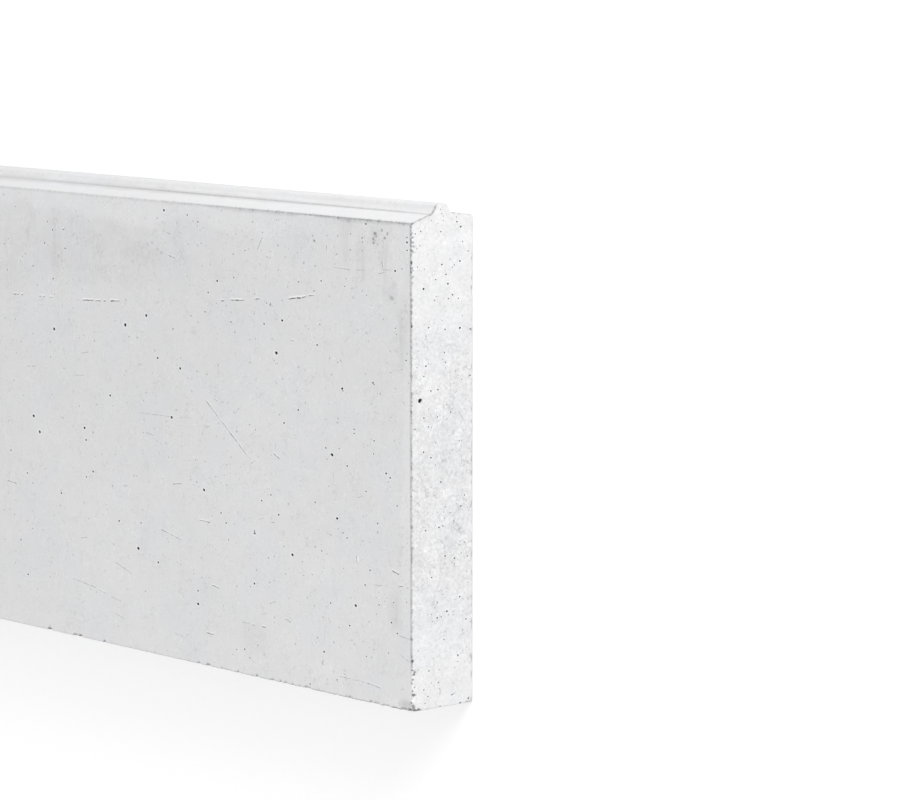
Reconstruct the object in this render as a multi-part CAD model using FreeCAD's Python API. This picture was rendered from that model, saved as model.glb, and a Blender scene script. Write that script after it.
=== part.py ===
import FreeCAD, Part
import math
import os

# Concrete gravel board: one cast plank with a tapered tongue between sloping shoulders along its top edge.
# It lies on its back. X runs along its length, Y up its height towards the tongue, Z through its thickness,
# so the front face is on top. The origin is on the floor under the middle of its box. Sizes are millimetres.

# Board
LENGTH = 1830.0
THICKNESS = 50.0
FRONT_HEIGHT = 300.0  # base edge to the front top arris
BACK_HEIGHT = 303.0  # base edge to the back top arris

# Shoulders and tongue
FRONT_SHOULDER_RISE = 5.4  # front top arris to the tongue's front root
BACK_SHOULDER_RISE = 2.5  # back top arris to the tongue's back root
TONGUE_RISE = 5.6  # tongue's front root to its top
TONGUE_ROOT_WIDTH = 13.6
TONGUE_TOP_WIDTH = 8.7
TONGUE_FORWARD = 0.6  # the tongue's middle lies this far in front of the board's middle

# Rounded edges
ARRIS_RADIUS = 0.8  # every outer edge of the board
TONGUE_TOP_RADIUS = 2.8
FRONT_ROOT_RADIUS = 5.0
BACK_ROOT_RADIUS = 2.5
LARGEST_TRIM = 0.45  # a rounding takes at most this share of the flat beside it
END_RADIUS_SHARE = 0.9  # the ends are rounded by at most this share of the tongue's own corner radius

OVERALL_HEIGHT = FRONT_HEIGHT + FRONT_SHOULDER_RISE + TONGUE_RISE
BASE_Y = -OVERALL_HEIGHT / 2.0
TONGUE_MIDDLE_Z = THICKNESS / 2.0 + TONGUE_FORWARD
ON_PLANE = 1e-6


def section_corners():
    """Corners of the section, seen from the +X end, as (height above the base, Z, radius)."""
    root_half = TONGUE_ROOT_WIDTH / 2.0
    top_half = TONGUE_TOP_WIDTH / 2.0
    tongue_top = OVERALL_HEIGHT
    front_root = FRONT_HEIGHT + FRONT_SHOULDER_RISE
    back_root = BACK_HEIGHT + BACK_SHOULDER_RISE
    return [
        (0.0, 0.0, 0.0),
        (BACK_HEIGHT, 0.0, 0.0),
        (back_root, TONGUE_MIDDLE_Z - root_half, BACK_ROOT_RADIUS),
        (tongue_top, TONGUE_MIDDLE_Z - top_half, TONGUE_TOP_RADIUS),
        (tongue_top, TONGUE_MIDDLE_Z + top_half, TONGUE_TOP_RADIUS),
        (front_root, TONGUE_MIDDLE_Z + root_half, FRONT_ROOT_RADIUS),
        (FRONT_HEIGHT, THICKNESS, 0.0),
        (0.0, THICKNESS, 0.0),
    ]


def rounded_corner(before, corner, after, radius):
    """First tangent point, middle and last tangent point of the arc that rounds a corner."""
    to_before = before - corner
    to_after = after - corner
    shorter_flat = min(to_before.Length, to_after.Length)
    half_angle = to_before.getAngle(to_after) / 2.0
    trim = min(radius / math.tan(half_angle), LARGEST_TRIM * shorter_flat)
    to_before.normalize()
    to_after.normalize()
    inward = to_before + to_after
    inward.normalize()
    radius_used = trim * math.tan(half_angle)
    middle = corner + inward * (radius_used / math.sin(half_angle) - radius_used)
    return corner + to_before * trim, middle, corner + to_after * trim


def section_wire():
    """Closed outline of the section at the -X end, with the tongue's corners and roots rounded."""
    corners = section_corners()
    points = [FreeCAD.Vector(-LENGTH / 2.0, BASE_Y + height, z) for height, z, radius in corners]
    edges = []
    stops = []
    for index, (height, z, radius) in enumerate(corners):
        point = points[index]
        if radius == 0.0:
            stops.append((point, point))
            continue
        after = points[(index + 1) % len(points)]
        first, middle, last = rounded_corner(points[index - 1], point, after, radius)
        edges.append(Part.Arc(first, middle, last).toShape())
        stops.append((first, last))
    for index, (first, last) in enumerate(stops):
        edges.append(Part.LineSegment(stops[index - 1][1], first).toShape())
    return Part.Wire(Part.__sortEdges__(edges))


def is_outer_edge(edge):
    """True for the edges round both ends and the four arrises that run the length of the board."""
    box = edge.BoundBox
    round_an_end = box.XLength < ON_PLANE
    on_the_back = box.ZMax < ON_PLANE
    on_the_front = box.ZMin > THICKNESS - ON_PLANE
    return round_an_end or on_the_back or on_the_front


def gravel_board():
    """The whole casting: the section drawn out to its length, with every outer edge rounded."""
    blank = Part.Face(section_wire()).extrude(FreeCAD.Vector(LENGTH, 0.0, 0.0))
    radius = min(ARRIS_RADIUS, END_RADIUS_SHARE * TONGUE_TOP_RADIUS)
    return blank.makeFillet(radius, [edge for edge in blank.Edges if is_outer_edge(edge)])


def main():
    os.makedirs("parts", exist_ok=True)
    gravel_board().exportStep("parts/gravel_board.step")


main()
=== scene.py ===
import math
import random

import bpy
import numpy as np
from mathutils import Matrix, Vector, noise
from mathutils.geometry import delaunay_2d_cdt


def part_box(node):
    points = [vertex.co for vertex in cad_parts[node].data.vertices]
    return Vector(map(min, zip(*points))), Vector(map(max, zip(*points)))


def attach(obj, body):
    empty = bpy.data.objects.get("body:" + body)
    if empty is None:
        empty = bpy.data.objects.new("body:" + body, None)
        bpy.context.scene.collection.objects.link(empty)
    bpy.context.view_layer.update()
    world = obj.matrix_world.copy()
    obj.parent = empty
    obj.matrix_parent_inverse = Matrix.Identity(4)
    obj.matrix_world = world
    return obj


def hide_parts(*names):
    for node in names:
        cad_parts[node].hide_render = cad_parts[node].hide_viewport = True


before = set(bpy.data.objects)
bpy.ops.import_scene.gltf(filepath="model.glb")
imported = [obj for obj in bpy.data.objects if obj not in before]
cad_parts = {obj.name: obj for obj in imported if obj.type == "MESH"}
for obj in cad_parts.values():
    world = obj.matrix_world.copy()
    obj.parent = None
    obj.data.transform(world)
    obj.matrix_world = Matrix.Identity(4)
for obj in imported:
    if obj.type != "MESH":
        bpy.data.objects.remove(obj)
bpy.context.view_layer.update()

MM = 0.001
SEED = 41

# The board, in millimetres: overall sizes from the frame, the section's own sizes as it was drawn
NODE = "gravel_board"
LENGTH, OVERALL_HEIGHT, THICKNESS = [(high - low) / MM for low, high in zip(*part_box(NODE))]
FRONT_HEIGHT = 300.0  # base edge to the front top arris
BACK_HEIGHT = 303.0  # base edge to the back top arris
FRONT_SHOULDER_RISE = 5.4
BACK_SHOULDER_RISE = 2.5
TONGUE_ROOT_WIDTH = 13.6
TONGUE_TOP_WIDTH = 8.7
TONGUE_FORWARD = 0.6  # the tongue's middle lies this far in front of the board's middle
ARRIS_RADIUS = 0.8
TONGUE_TOP_RADIUS = 2.8
FRONT_ROOT_RADIUS = 5.0
BACK_ROOT_RADIUS = 2.5
END_RADIUS = 0.6  # of the edges round the ends, which look a little crisper than the others
ARC_STEPS = 3
BASE_Y = -OVERALL_HEIGHT / 2.0
FRONT_TOP_Y = BASE_Y + FRONT_HEIGHT
END_X = LENGTH / 2.0
TONGUE_MIDDLE_Z = THICKNESS / 2.0 + TONGUE_FORWARD
FRONT_ROOT_Z = TONGUE_MIDDLE_Z + TONGUE_ROOT_WIDTH / 2.0

# The photograph's camera: its turn about the board's height, its rise, and the near front bottom corner
IMAGE_WIDTH = 907
IMAGE_HEIGHT = 800
SENSOR_WIDTH = 36.0
FOCAL_PX = 4000.0
VIEW_TURN = math.radians(47.995)
VIEW_RISE = math.radians(7.183)
NEAR_CORNER_PX = (412.23, 712.58)
NEAR_CORNER_DEPTH = 2448.0

# Air holes that stand out in the photograph: pixel, then radius in millimetres
FRONT_PITS = [
    (217, 281, 0.9), (54, 329, 1.25), (125, 325, 1.4), (146, 315.5, 1.2), (276.3, 353, 1.35),
    (282, 320.5, 0.9), (157.5, 358, 0.85), (180, 368.5, 1.05), (33.6, 416, 1.2), (39.6, 432, 1.25),
    (84.5, 427.9, 1.05), (86, 440, 0.85), (171.5, 417.5, 1.15), (272, 339, 0.6), (313.7, 291, 0.6),
    (317, 345, 0.75), (110, 395.5, 0.9), (342, 388.6, 0.95), (372.8, 382.8, 0.75), (332, 455, 1.2),
    (373.5, 454, 0.6), (284, 423, 0.75), (298, 410, 0.75), (204, 490, 1.05), (386, 473.5, 0.85),
    (390, 478, 0.7), (337, 518.5, 0.95), (397, 506, 0.65), (292.4, 555, 1.1), (278.6, 514.8, 0.75),
    (226, 523, 0.75), (221, 513, 0.7), (315, 502.3, 0.65), (270.8, 495, 0.65), (377.5, 523.5, 0.65),
    (366, 491.5, 0.6), (347, 538, 0.65), (395, 271, 0.85), (365.7, 224, 0.75), (245, 250.6, 0.6),
    (233.7, 277.6, 0.65), (298.6, 282, 0.6), (321, 281, 0.65), (138.2, 548.4, 1.2), (61.2, 493.2, 0.75),
    (119, 521, 0.8), (158.2, 562.4, 0.95), (141, 523, 0.65), (355.5, 605.6, 1.15), (349.6, 625.7, 0.75),
    (324, 651.8, 0.8), (254.3, 583.6, 0.85), (93, 471.6, 0.85), (86.4, 477, 0.7), (163.8, 210.3, 1.0),
    (187, 215, 0.7), (197.7, 221.9, 0.7), (208, 292.5, 0.7), (173, 329, 0.65), (198, 604, 1.1),
    (198, 590.8, 0.75), (205, 311.7, 0.65), (230.8, 322, 0.65), (264, 324, 0.7), (52.5, 230, 0.7),
    (65, 248.4, 0.7), (53, 278.6, 0.7), (32.9, 266, 0.65), (406.8, 242.5, 0.85), (406.8, 237.5, 0.6),
    (407, 250.5, 0.65), (354, 429.5, 0.6), (354, 433.5, 0.6), (325.7, 448, 0.7), (347, 466, 0.7),
    (374, 441, 0.65), (261.6, 500.8, 0.75), (343, 533, 0.6), (321.7, 551, 0.6), (370, 570.4, 0.7),
    (365, 585, 0.65), (330.5, 603, 0.65), (379, 605, 0.6), (391.4, 622.8, 0.65), (397.2, 633.6, 0.62),
    (337, 679.7, 0.6), (310, 684, 0.65), (28, 574.4, 0.8), (21, 539.7, 0.7), (10.9, 450.3, 0.7),
    (27.3, 473, 0.7), (236.7, 649.6, 0.6), (244.7, 649.3, 0.7), (250, 658, 0.6), (361.9, 238, 0.62),
    (362.3, 242, 0.55), (362, 250.8, 0.5), (350.3, 234, 0.55), (346, 278.8, 0.5), (366.3, 295.4, 0.5),
    (344.5, 286.5, 0.5), (393.5, 602.6, 0.55), (366.3, 656.4, 0.55), (371.7, 657.3, 0.5), (374, 650, 0.45),
    (344.5, 674, 0.5), (363, 641.4, 0.45), (47.4, 221.8, 0.6), (44.4, 243, 0.65), (25.5, 253.8, 0.5),
    (22.4, 256.2, 0.5), (7.3, 269.8, 0.6), (8.2, 238.6, 0.5), (158.5, 290.2, 0.45), (4.9, 318, 0.5),
    (405.9, 360.5, 0.62), (218, 365.5, 0.6), (268.4, 558, 0.55), (326.8, 554, 0.5), (305.2, 325.9, 0.5),
    (319.7, 324.6, 0.55), (337.9, 362.4, 0.55), (303.7, 575.4, 0.5), (312.1, 574.8, 0.5),
    (257.7, 645.3, 0.6), (254.3, 531.2, 0.75), (254.5, 533.4, 0.95), (262, 238.3, 0.5), (342.8, 390.9, 0.6),
    (374, 384.5, 0.6), (396.6, 334.6, 0.55), (395.3, 328.3, 0.55), (32.9, 483, 0.6),
]
END_PITS = [
    (423.5, 289, 0.85), (428.7, 327.7, 0.65), (445.2, 329.4, 0.65), (460, 328, 0.8), (441.9, 264.6, 0.7),
    (460, 261, 0.75), (454.4, 265, 0.5), (448, 283.7, 0.75), (452.6, 294.8, 0.65), (448.3, 298.7, 0.6),
    (458.4, 298.2, 0.6), (434.8, 300.5, 0.55), (435.8, 279.7, 0.6), (446, 274.5, 0.65), (424.4, 269.3, 0.5),
    (420.9, 231.5, 0.6), (415.4, 233.8, 0.6), (441, 231.7, 0.6), (461, 226.5, 0.75), (457, 221.7, 0.6),
    (462.7, 241.6, 0.55), (468.2, 251.1, 0.6), (444.5, 352.5, 0.6), (445.7, 362.3, 0.55),
    (426.1, 366.3, 0.65), (424, 376.7, 0.6), (437.9, 389.7, 0.65), (431, 391, 0.6), (450.6, 412.2, 0.6),
    (437.4, 416.9, 0.55), (424, 418, 0.6), (428.4, 427, 0.55), (415, 429.5, 0.6), (423.7, 452.4, 0.65),
    (431, 457.8, 0.65), (440.9, 482.2, 0.65), (464.5, 495, 0.6), (461, 506, 0.65), (453.9, 521, 0.6),
    (439, 527.4, 0.7), (443, 526, 0.6), (425.8, 530.7, 0.65), (464.2, 542.2, 0.6), (445.3, 556, 0.65),
    (454.5, 558.3, 0.65), (431.8, 577.5, 0.6), (459.8, 596.6, 0.65), (447, 611.3, 0.75),
    (437.3, 617.8, 0.65), (441.2, 617, 0.55), (466, 619, 0.6), (443.9, 639.4, 0.6), (458, 655.3, 0.7),
    (458, 661.6, 0.5), (429, 671, 0.6), (424, 690, 0.6), (428, 696.5, 0.6), (425, 703.5, 0.5),
    (448.3, 614.8, 0.45), (431.4, 614.6, 0.5), (470.2, 621.4, 0.45), (468.3, 698.5, 0.75),
    (420, 245.9, 0.5), (417.6, 267.2, 0.5), (440.6, 209.2, 0.45), (441.6, 213.6, 0.45), (443.3, 216.2, 0.4),
    (443.6, 220.6, 0.4), (431.5, 220.6, 0.4), (456.7, 217, 0.45),
]

# Soft dark spots on the front: pixel, radius in millimetres, soil
FRONT_BLOTS = [
    (391.4, 298.5, 2.2, 0.3), (348.5, 221.5, 2.2, 0.16), (53, 279, 1.5, 0.22), (100.3, 235, 1.4, 0.18),
    (176.3, 223.3, 1.2, 0.16), (362, 291.6, 1.2, 0.16), (353, 298, 1.6, 0.14), (329.4, 297, 1.6, 0.12),
    (405, 306, 1.6, 0.14), (107.3, 509.7, 1.4, 0.14), (83.6, 503, 1.6, 0.12), (166, 444, 1.6, 0.12),
    (264, 655, 2.0, 0.18), (327.6, 683.5, 1.6, 0.2), (333, 672, 1.8, 0.12), (84, 336, 1.4, 0.12),
    (147.4, 244.6, 1.3, 0.22), (151.8, 243, 1.4, 0.22), (142, 248.1, 1.2, 0.16), (157.1, 218.2, 1.0, 0.35),
    (110.3, 282, 1.2, 0.12), (47.8, 244.9, 0.9, 0.2), (375.2, 234.2, 2.1, 0.7), (376.1, 236.4, 1.1, 0.5),
    (374.3, 237.2, 0.8, 0.45), (373.4, 239.2, 1.5, 0.6), (374.8, 240.6, 0.8, 0.45),
    (373.4, 242.8, 1.3, 0.6), (381.8, 230.4, 1.3, 0.5), (387.2, 234, 1.4, 0.5), (384.6, 238.2, 1.3, 0.55),
    (382.3, 240.6, 0.8, 0.3), (377.8, 244.7, 0.9, 0.4), (350.2, 250, 1.0, 0.4), (75.6, 211.2, 0.9, 0.25),
    (270.2, 304.7, 1.3, 0.6), (92.9, 432.4, 1.2, 0.35), (154, 428.8, 0.9, 0.3), (32.9, 334, 0.8, 0.45),
    (20.9, 341.8, 0.9, 0.4), (50, 342, 0.75, 0.5), (50.4, 357, 0.85, 0.45), (64.2, 368.6, 0.8, 0.4),
    (94.4, 341, 0.9, 0.5), (115.2, 321, 0.75, 0.45), (128.9, 336.6, 0.85, 0.4), (137.2, 337.5, 0.8, 0.5),
    (154.8, 350.7, 0.9, 0.45), (125.8, 371.3, 0.75, 0.4), (145.9, 392.5, 0.85, 0.5),
    (143.2, 400.6, 0.8, 0.45), (79.4, 406.4, 0.9, 0.4), (144, 419.6, 0.75, 0.5), (198.2, 322.2, 0.85, 0.45),
    (180.6, 358, 0.8, 0.4), (206.9, 374.4, 0.9, 0.5), (250.2, 362.4, 0.75, 0.45), (277.3, 363.4, 0.85, 0.4),
    (274.1, 360.9, 0.8, 0.5), (298.5, 367.2, 0.9, 0.45), (304.8, 370, 0.75, 0.4), (329.6, 358.3, 0.85, 0.5),
    (331.5, 374.8, 0.8, 0.45), (282.5, 378.9, 0.9, 0.4), (222.6, 402, 0.75, 0.5), (234, 412.5, 0.85, 0.45),
    (218.3, 423.2, 0.8, 0.4), (236.7, 431.5, 0.9, 0.5), (202.5, 434, 0.75, 0.45), (305.3, 402.8, 0.85, 0.4),
    (279.5, 414.7, 0.8, 0.5), (338, 418.5, 0.9, 0.45), (249.9, 339.8, 0.75, 0.4), (196.8, 371.5, 0.85, 0.5),
    (191.7, 391, 0.8, 0.45), (254.3, 293.9, 0.9, 0.4), (282.2, 300.5, 0.75, 0.5), (288.3, 504, 0.85, 0.45),
    (362.9, 541, 0.8, 0.4), (377.7, 532.5, 0.9, 0.5), (338.2, 529, 0.75, 0.45), (302.4, 561.8, 0.85, 0.4),
    (256.3, 570.3, 0.8, 0.5), (269.8, 582.6, 0.9, 0.45), (273.8, 580.7, 0.75, 0.4), (285.8, 574, 0.85, 0.5),
    (250.3, 586.8, 0.8, 0.45), (307.2, 597.9, 0.9, 0.4), (314.3, 605.7, 0.75, 0.5),
    (274.2, 617.5, 0.85, 0.45), (368.9, 622, 0.8, 0.4), (333.8, 642.6, 0.9, 0.5),
    (351.7, 640.5, 0.75, 0.45), (354.4, 644.3, 0.85, 0.4), (295.3, 643.7, 0.8, 0.5),
    (317.5, 637.7, 0.9, 0.45), (407.6, 588.4, 0.75, 0.4), (314.2, 240.8, 1.3, 0.65), (3.3, 194.5, 1.2, 0.3),
    (58.6, 255.7, 1.3, 0.25), (157, 249, 1.4, 0.22), (161.2, 253, 1.6, 0.25), (200, 230.2, 0.7, 0.5),
    (201.1, 243.2, 0.7, 0.6), (197.3, 245.5, 0.8, 0.5), (202, 266, 0.7, 0.4), (210.3, 264.4, 0.7, 0.4),
    (233.1, 254.1, 0.8, 0.6), (248.3, 249.4, 0.8, 0.4), (262.5, 232.6, 0.7, 0.6), (277.9, 245.6, 0.9, 0.5),
    (269.8, 258.1, 0.8, 0.4), (278.2, 270, 0.7, 0.5), (270.3, 251.4, 0.7, 0.4), (312.6, 235.9, 0.9, 0.5),
    (326.9, 235.5, 0.8, 0.4), (297.4, 252.9, 0.7, 0.5), (303.7, 263, 0.8, 0.6), (315.1, 266, 0.9, 0.5),
    (337.6, 235.9, 0.7, 0.6), (252.6, 222, 0.8, 0.6), (192.6, 221.2, 0.8, 0.35), (287.7, 286.8, 0.7, 0.4),
    (226.1, 305.8, 0.7, 0.5), (77.9, 216.2, 0.8, 0.4), (37.4, 285, 0.9, 0.5), (221.5, 210.6, 0.7, 0.5),
    (380.2, 393.8, 0.9, 0.35), (377.5, 393.8, 0.7, 0.3), (373.9, 398.8, 0.7, 0.3),
    (403.1, 402.3, 0.7, 0.45), (404.2, 404, 0.7, 0.4), (396.7, 338.5, 0.8, 0.25), (366.3, 333.6, 1.8, 0.16),
    (368.6, 341.6, 1, 0.25), (390, 351.4, 0.8, 0.3), (407.1, 353.9, 0.8, 0.4), (386, 363, 0.8, 0.25),
    (365.4, 374.2, 0.7, 0.4), (395.4, 388.5, 0.7, 0.35), (394.5, 440.7, 0.7, 0.45),
    (402.2, 319.7, 0.7, 0.35), (371.3, 404.1, 0.8, 0.35), (402, 269, 0.9, 0.5), (322.9, 660.8, 0.8, 0.5),
    (322.5, 662.9, 0.9, 0.6), (322.8, 664.8, 0.7, 0.5), (305.4, 677.8, 0.6, 0.35),
    (305.4, 680.4, 0.6, 0.35), (305.4, 686, 0.7, 0.5), (314.4, 679.2, 0.6, 0.4), (314.4, 681.2, 0.6, 0.35),
    (327.6, 679.1, 0.7, 0.3), (327.8, 683.4, 0.7, 0.25), (337.2, 681.2, 0.6, 0.35),
    (344.4, 672.4, 2.4, 0.12), (61.3, 490.6, 0.7, 0.45), (112.5, 485.9, 0.9, 0.45),
    (133.9, 475.7, 0.8, 0.45), (84.2, 502.5, 0.9, 0.3), (142.4, 453.5, 0.8, 0.35), (168.4, 457.3, 0.8, 0.4),
    (231.1, 457.3, 0.7, 0.5), (226.5, 465, 0.7, 0.4), (142.4, 510.1, 0.8, 0.35), (51.3, 562.2, 0.7, 0.5),
    (72.7, 555.3, 0.8, 0.35), (42.9, 530, 0.7, 0.45), (4.6, 539.2, 0.7, 0.45), (9.9, 509.3, 0.9, 0.3),
    (4.6, 510.1, 0.7, 0.35), (54.3, 515.5, 0.7, 0.35), (101.8, 454.2, 0.9, 0.35), (95.5, 456.5, 0.7, 0.3),
    (80.4, 452.7, 0.8, 0.3), (113.3, 470.3, 0.7, 0.3), (127, 402.7, 0.7, 0.45), (120.9, 447.3, 0.7, 0.3),
    (181.4, 446.6, 0.8, 0.3), (190.6, 479.8, 0.8, 0.45), (215.8, 476.7, 0.9, 0.4), (209.7, 478, 0.7, 0.35),
    (226.5, 485.3, 0.9, 0.4), (235, 474.1, 0.7, 0.35), (180.6, 564.4, 0.7, 0.5), (177.6, 562.5, 0.6, 0.35),
    (201.3, 557.9, 0.7, 0.5), (150, 554.8, 0.7, 0.35), (113.3, 544.1, 0.7, 0.35), (49.7, 576.7, 0.7, 0.45),
    (202, 577.5, 0.7, 0.4), (148.5, 481.8, 0.7, 0.3), (234.2, 523.6, 0.7, 0.4), (104.9, 570.6, 0.9, 0.25),
    (15.3, 562.9, 0.9, 0.3), (52, 394.5, 0.8, 0.35), (73.5, 391.5, 0.8, 0.3), (176.8, 386.9, 0.7, 0.35),
    (41.3, 483.3, 0.7, 0.35), (9.2, 390.7, 0.8, 0.3),
]

# Scored lines on the front: first pixel, last pixel, half width and depth in millimetres
FRONT_LINES = [
    ((11.6, 293.8), (19.2, 294.4), 0.5, 0.5), ((20.8, 294.5), (23.4, 294.8), 0.5, 0.6),
    ((38.2, 296), (41, 296.5), 0.45, 0.55), ((42.8, 296.7), (44.8, 296.8), 0.5, 0.6),
    ((49, 297.2), (52.6, 297.4), 0.5, 0.5), ((76.3, 299.7), (79.4, 299.8), 0.35, 0.35),
    ((81.6, 300.1), (93, 300.5), 0.5, 0.6), ((94.5, 300.7), (100.8, 301), 0.55, 0.6),
    ((103, 301), (106.2, 301), 0.45, 0.55), ((110, 301), (119.4, 301.1), 0.6, 0.6),
    ((220.5, 300.9), (224.4, 300.8), 0.6, 0.6), ((230, 300.2), (244, 300.4), 0.5, 0.6),
    ((254, 299.4), (260, 298.7), 0.5, 0.5), ((288.5, 299.2), (296, 298), 0.5, 0.55),
    ((308, 295.8), (314, 295.4), 0.45, 0.45), ((205, 399.8), (246.5, 455), 0.48, 0.4),
    ((273.3, 453.5), (280, 459.5), 0.5, 0.5), ((199, 520), (210, 522.7), 0.5, 0.5),
    ((138, 412.8), (170, 416.7), 0.36, 0.22), ((178.5, 417.4), (190.5, 418.4), 0.3, 0.18),
    ((326.2, 244.8), (327, 253.2), 0.5, 0.45), ((381.4, 261), (382.8, 267.8), 0.5, 0.5),
    ((333, 267.4), (350, 270), 0.32, 0.25), ((355.5, 270), (365, 270.4), 0.32, 0.25),
    ((382, 270), (392, 270.2), 0.28, 0.2), ((160.3, 529.2), (182, 540.4), 0.42, 0.35),
    ((115, 562), (132, 574), 0.38, 0.28), ((72, 578.2), (96.5, 588), 0.45, 0.28),
    ((98, 589.4), (106.5, 594), 0.42, 0.38), ((111, 597), (121.5, 601.5), 0.34, 0.25),
    ((111, 611), (126, 620), 0.36, 0.25), ((256.5, 251), (261.6, 238.4), 0.36, 0.3),
    ((211.7, 585), (219, 588.4), 0.5, 0.5), ((241, 622), (250, 624), 0.3, 0.2),
    ((206.6, 632.7), (214, 635), 0.5, 0.5), ((391.6, 570.6), (399.3, 575), 0.5, 0.5),
    ((366, 682.6), (381, 688.4), 0.42, 0.38), ((7, 480.3), (17, 483.5), 0.42, 0.38),
    ((172.2, 484.2), (181.6, 483.5), 0.42, 0.35), ((192, 484.2), (199.5, 487.7), 0.34, 0.28),
    ((168, 255.4), (176, 258.5), 0.42, 0.38), ((26.6, 366.2), (36.4, 366.2), 0.36, 0.28),
    ((394.3, 441.5), (399.5, 454.4), 0.32, 0.2), ((182, 240), (183.4, 253), 0.3, 0.2),
    ((80, 353.3), (89, 352), 0.32, 0.25), ((71.5, 375), (84, 375.7), 0.3, 0.2),
    ((145.6, 432.4), (154, 436), 0.32, 0.25), ((222.7, 604), (224.2, 611.5), 0.36, 0.3),
    ((371.6, 585), (389, 586.5), 0.3, 0.2), ((300.8, 448.5), (300.8, 459.5), 0.34, 0.3),
    ((301, 228), (314, 252), 0.3, 0.18), ((311.2, 641), (314.2, 647.2), 0.45, 0.45),
    ((44, 240.5), (48, 246), 0.36, 0.3), ((61.9, 230.2), (64.7, 228.1), 0.45, 0.6),
    ((173.6, 632.8), (184, 637), 0.3, 0.2), ((296, 298.2), (301, 298), 0.6, 0.65),
    ((301, 298), (306, 296.6), 0.5, 0.55), ((251.5, 624.8), (255.5, 625.6), 0.4, 0.4),
    ((261.5, 626.6), (266, 627.4), 0.45, 0.5), ((356.4, 555.6), (357, 562.2), 0.8, 1.0),
    ((218, 362), (218.1, 379), 0.3, 0.25), ((212.3, 397.9), (218.3, 401.7), 0.38, 0.38),
    ((277.6, 397), (278.3, 401), 0.42, 0.45), ((291, 340.5), (294, 341.2), 0.42, 0.45),
    ((317, 528.8), (320, 530.2), 0.4, 0.35), ((325.5, 532.4), (332.2, 535.8), 0.36, 0.3),
    ((270, 522.2), (275.5, 522.8), 0.36, 0.3), ((284.5, 618.4), (291, 622.6), 0.4, 0.38),
    ((328.4, 617), (330, 623.4), 0.36, 0.3), ((269, 604), (275.8, 601.4), 0.36, 0.3),
    ((398.6, 586.9), (403, 586.4), 0.45, 0.4), ((401.3, 545.5), (402.3, 549.8), 0.36, 0.3),
    ((222.2, 254), (222.5, 264), 0.35, 0.3), ((264.6, 275), (266.4, 279), 0.36, 0.32),
    ((337.8, 253.2), (335, 256.2), 0.4, 0.45), ((378.6, 274), (384.5, 272.4), 0.35, 0.3),
    ((339, 676.4), (350.5, 679), 0.35, 0.3), ((352.5, 679.6), (366, 682.6), 0.3, 0.24),
    ((397.5, 635.3), (409.4, 639.8), 0.3, 0.26), ((399.2, 654.3), (409, 662), 0.3, 0.24),
    ((81, 537.9), (87.6, 537.5), 0.36, 0.3), ((123, 486), (129, 485.8), 0.3, 0.24),
    ((166, 232.3), (170.8, 234.3), 0.36, 0.3), ((177.4, 231.3), (181.6, 234), 0.36, 0.28),
]

# Scored lines on the near end, in the same way
END_LINES = [
    ((437.1, 683.8), (439.6, 682), 0.45, 0.8), ((451.7, 684.6), (454.8, 682), 0.4, 0.6),
    ((450.7, 695.6), (454.7, 693.2), 0.45, 0.7), ((439.5, 687.5), (440.6, 692.5), 0.5, 0.4),
    ((440.6, 692.5), (440, 695), 0.5, 0.4), ((467.9, 699), (469.4, 696.4), 0.6, 0.9),
    ((461.7, 631.2), (464, 628.6), 0.45, 0.8), ((449, 513.3), (451.8, 512.6), 0.5, 0.4),
    ((418.1, 402.1), (422.3, 399), 1.45, 1.6), ((468.8, 376.6), (471.2, 374.4), 0.45, 0.75),
    ((469.6, 329.9), (471.3, 328.3), 0.55, 0.9),
]

# Broken places on the edges: pixel, half length along, reach across and depth in millimetres, then soil
BOTTOM_EDGE_CHIPS = [
    (49.7, 628, 2.6, 1.6, 1.2, 0.6), (75.5, 634, 3.0, 1.1, 0.8, 0.4), (80.5, 635, 2.4, 1.5, 1.1, 0.55),
    (104.5, 640, 1.8, 1.0, 0.7, 0.5), (199, 662, 1.8, 0.9, 0.6, 0.3), (208, 663, 2.2, 1.2, 0.9, 0.45),
    (222, 667, 1.2, 0.7, 0.5, 0.3), (238, 671, 1.4, 0.8, 0.6, 0.35), (257, 675, 1.8, 1.1, 0.8, 0.4),
    (273, 680, 1.4, 0.7, 0.5, 0.3), (285, 683, 1.2, 0.8, 0.5, 0.3), (306, 688, 2.0, 1.0, 0.7, 0.35),
    (349.6, 696, 1.2, 0.8, 0.7, 0.5), (371, 701, 2.4, 1.0, 0.7, 0.3), (377.5, 702.5, 1.2, 0.8, 0.6, 0.25),
    (388, 705, 1.4, 0.8, 0.6, 0.25), (395.2, 707.2, 3.4, 0.1, 0.7, 0.9), (404, 709.5, 3.4, 1.4, 0.8, 0.3),
    (409.5, 711, 2.4, 1.6, 1.3, 0.5),
]
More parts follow.
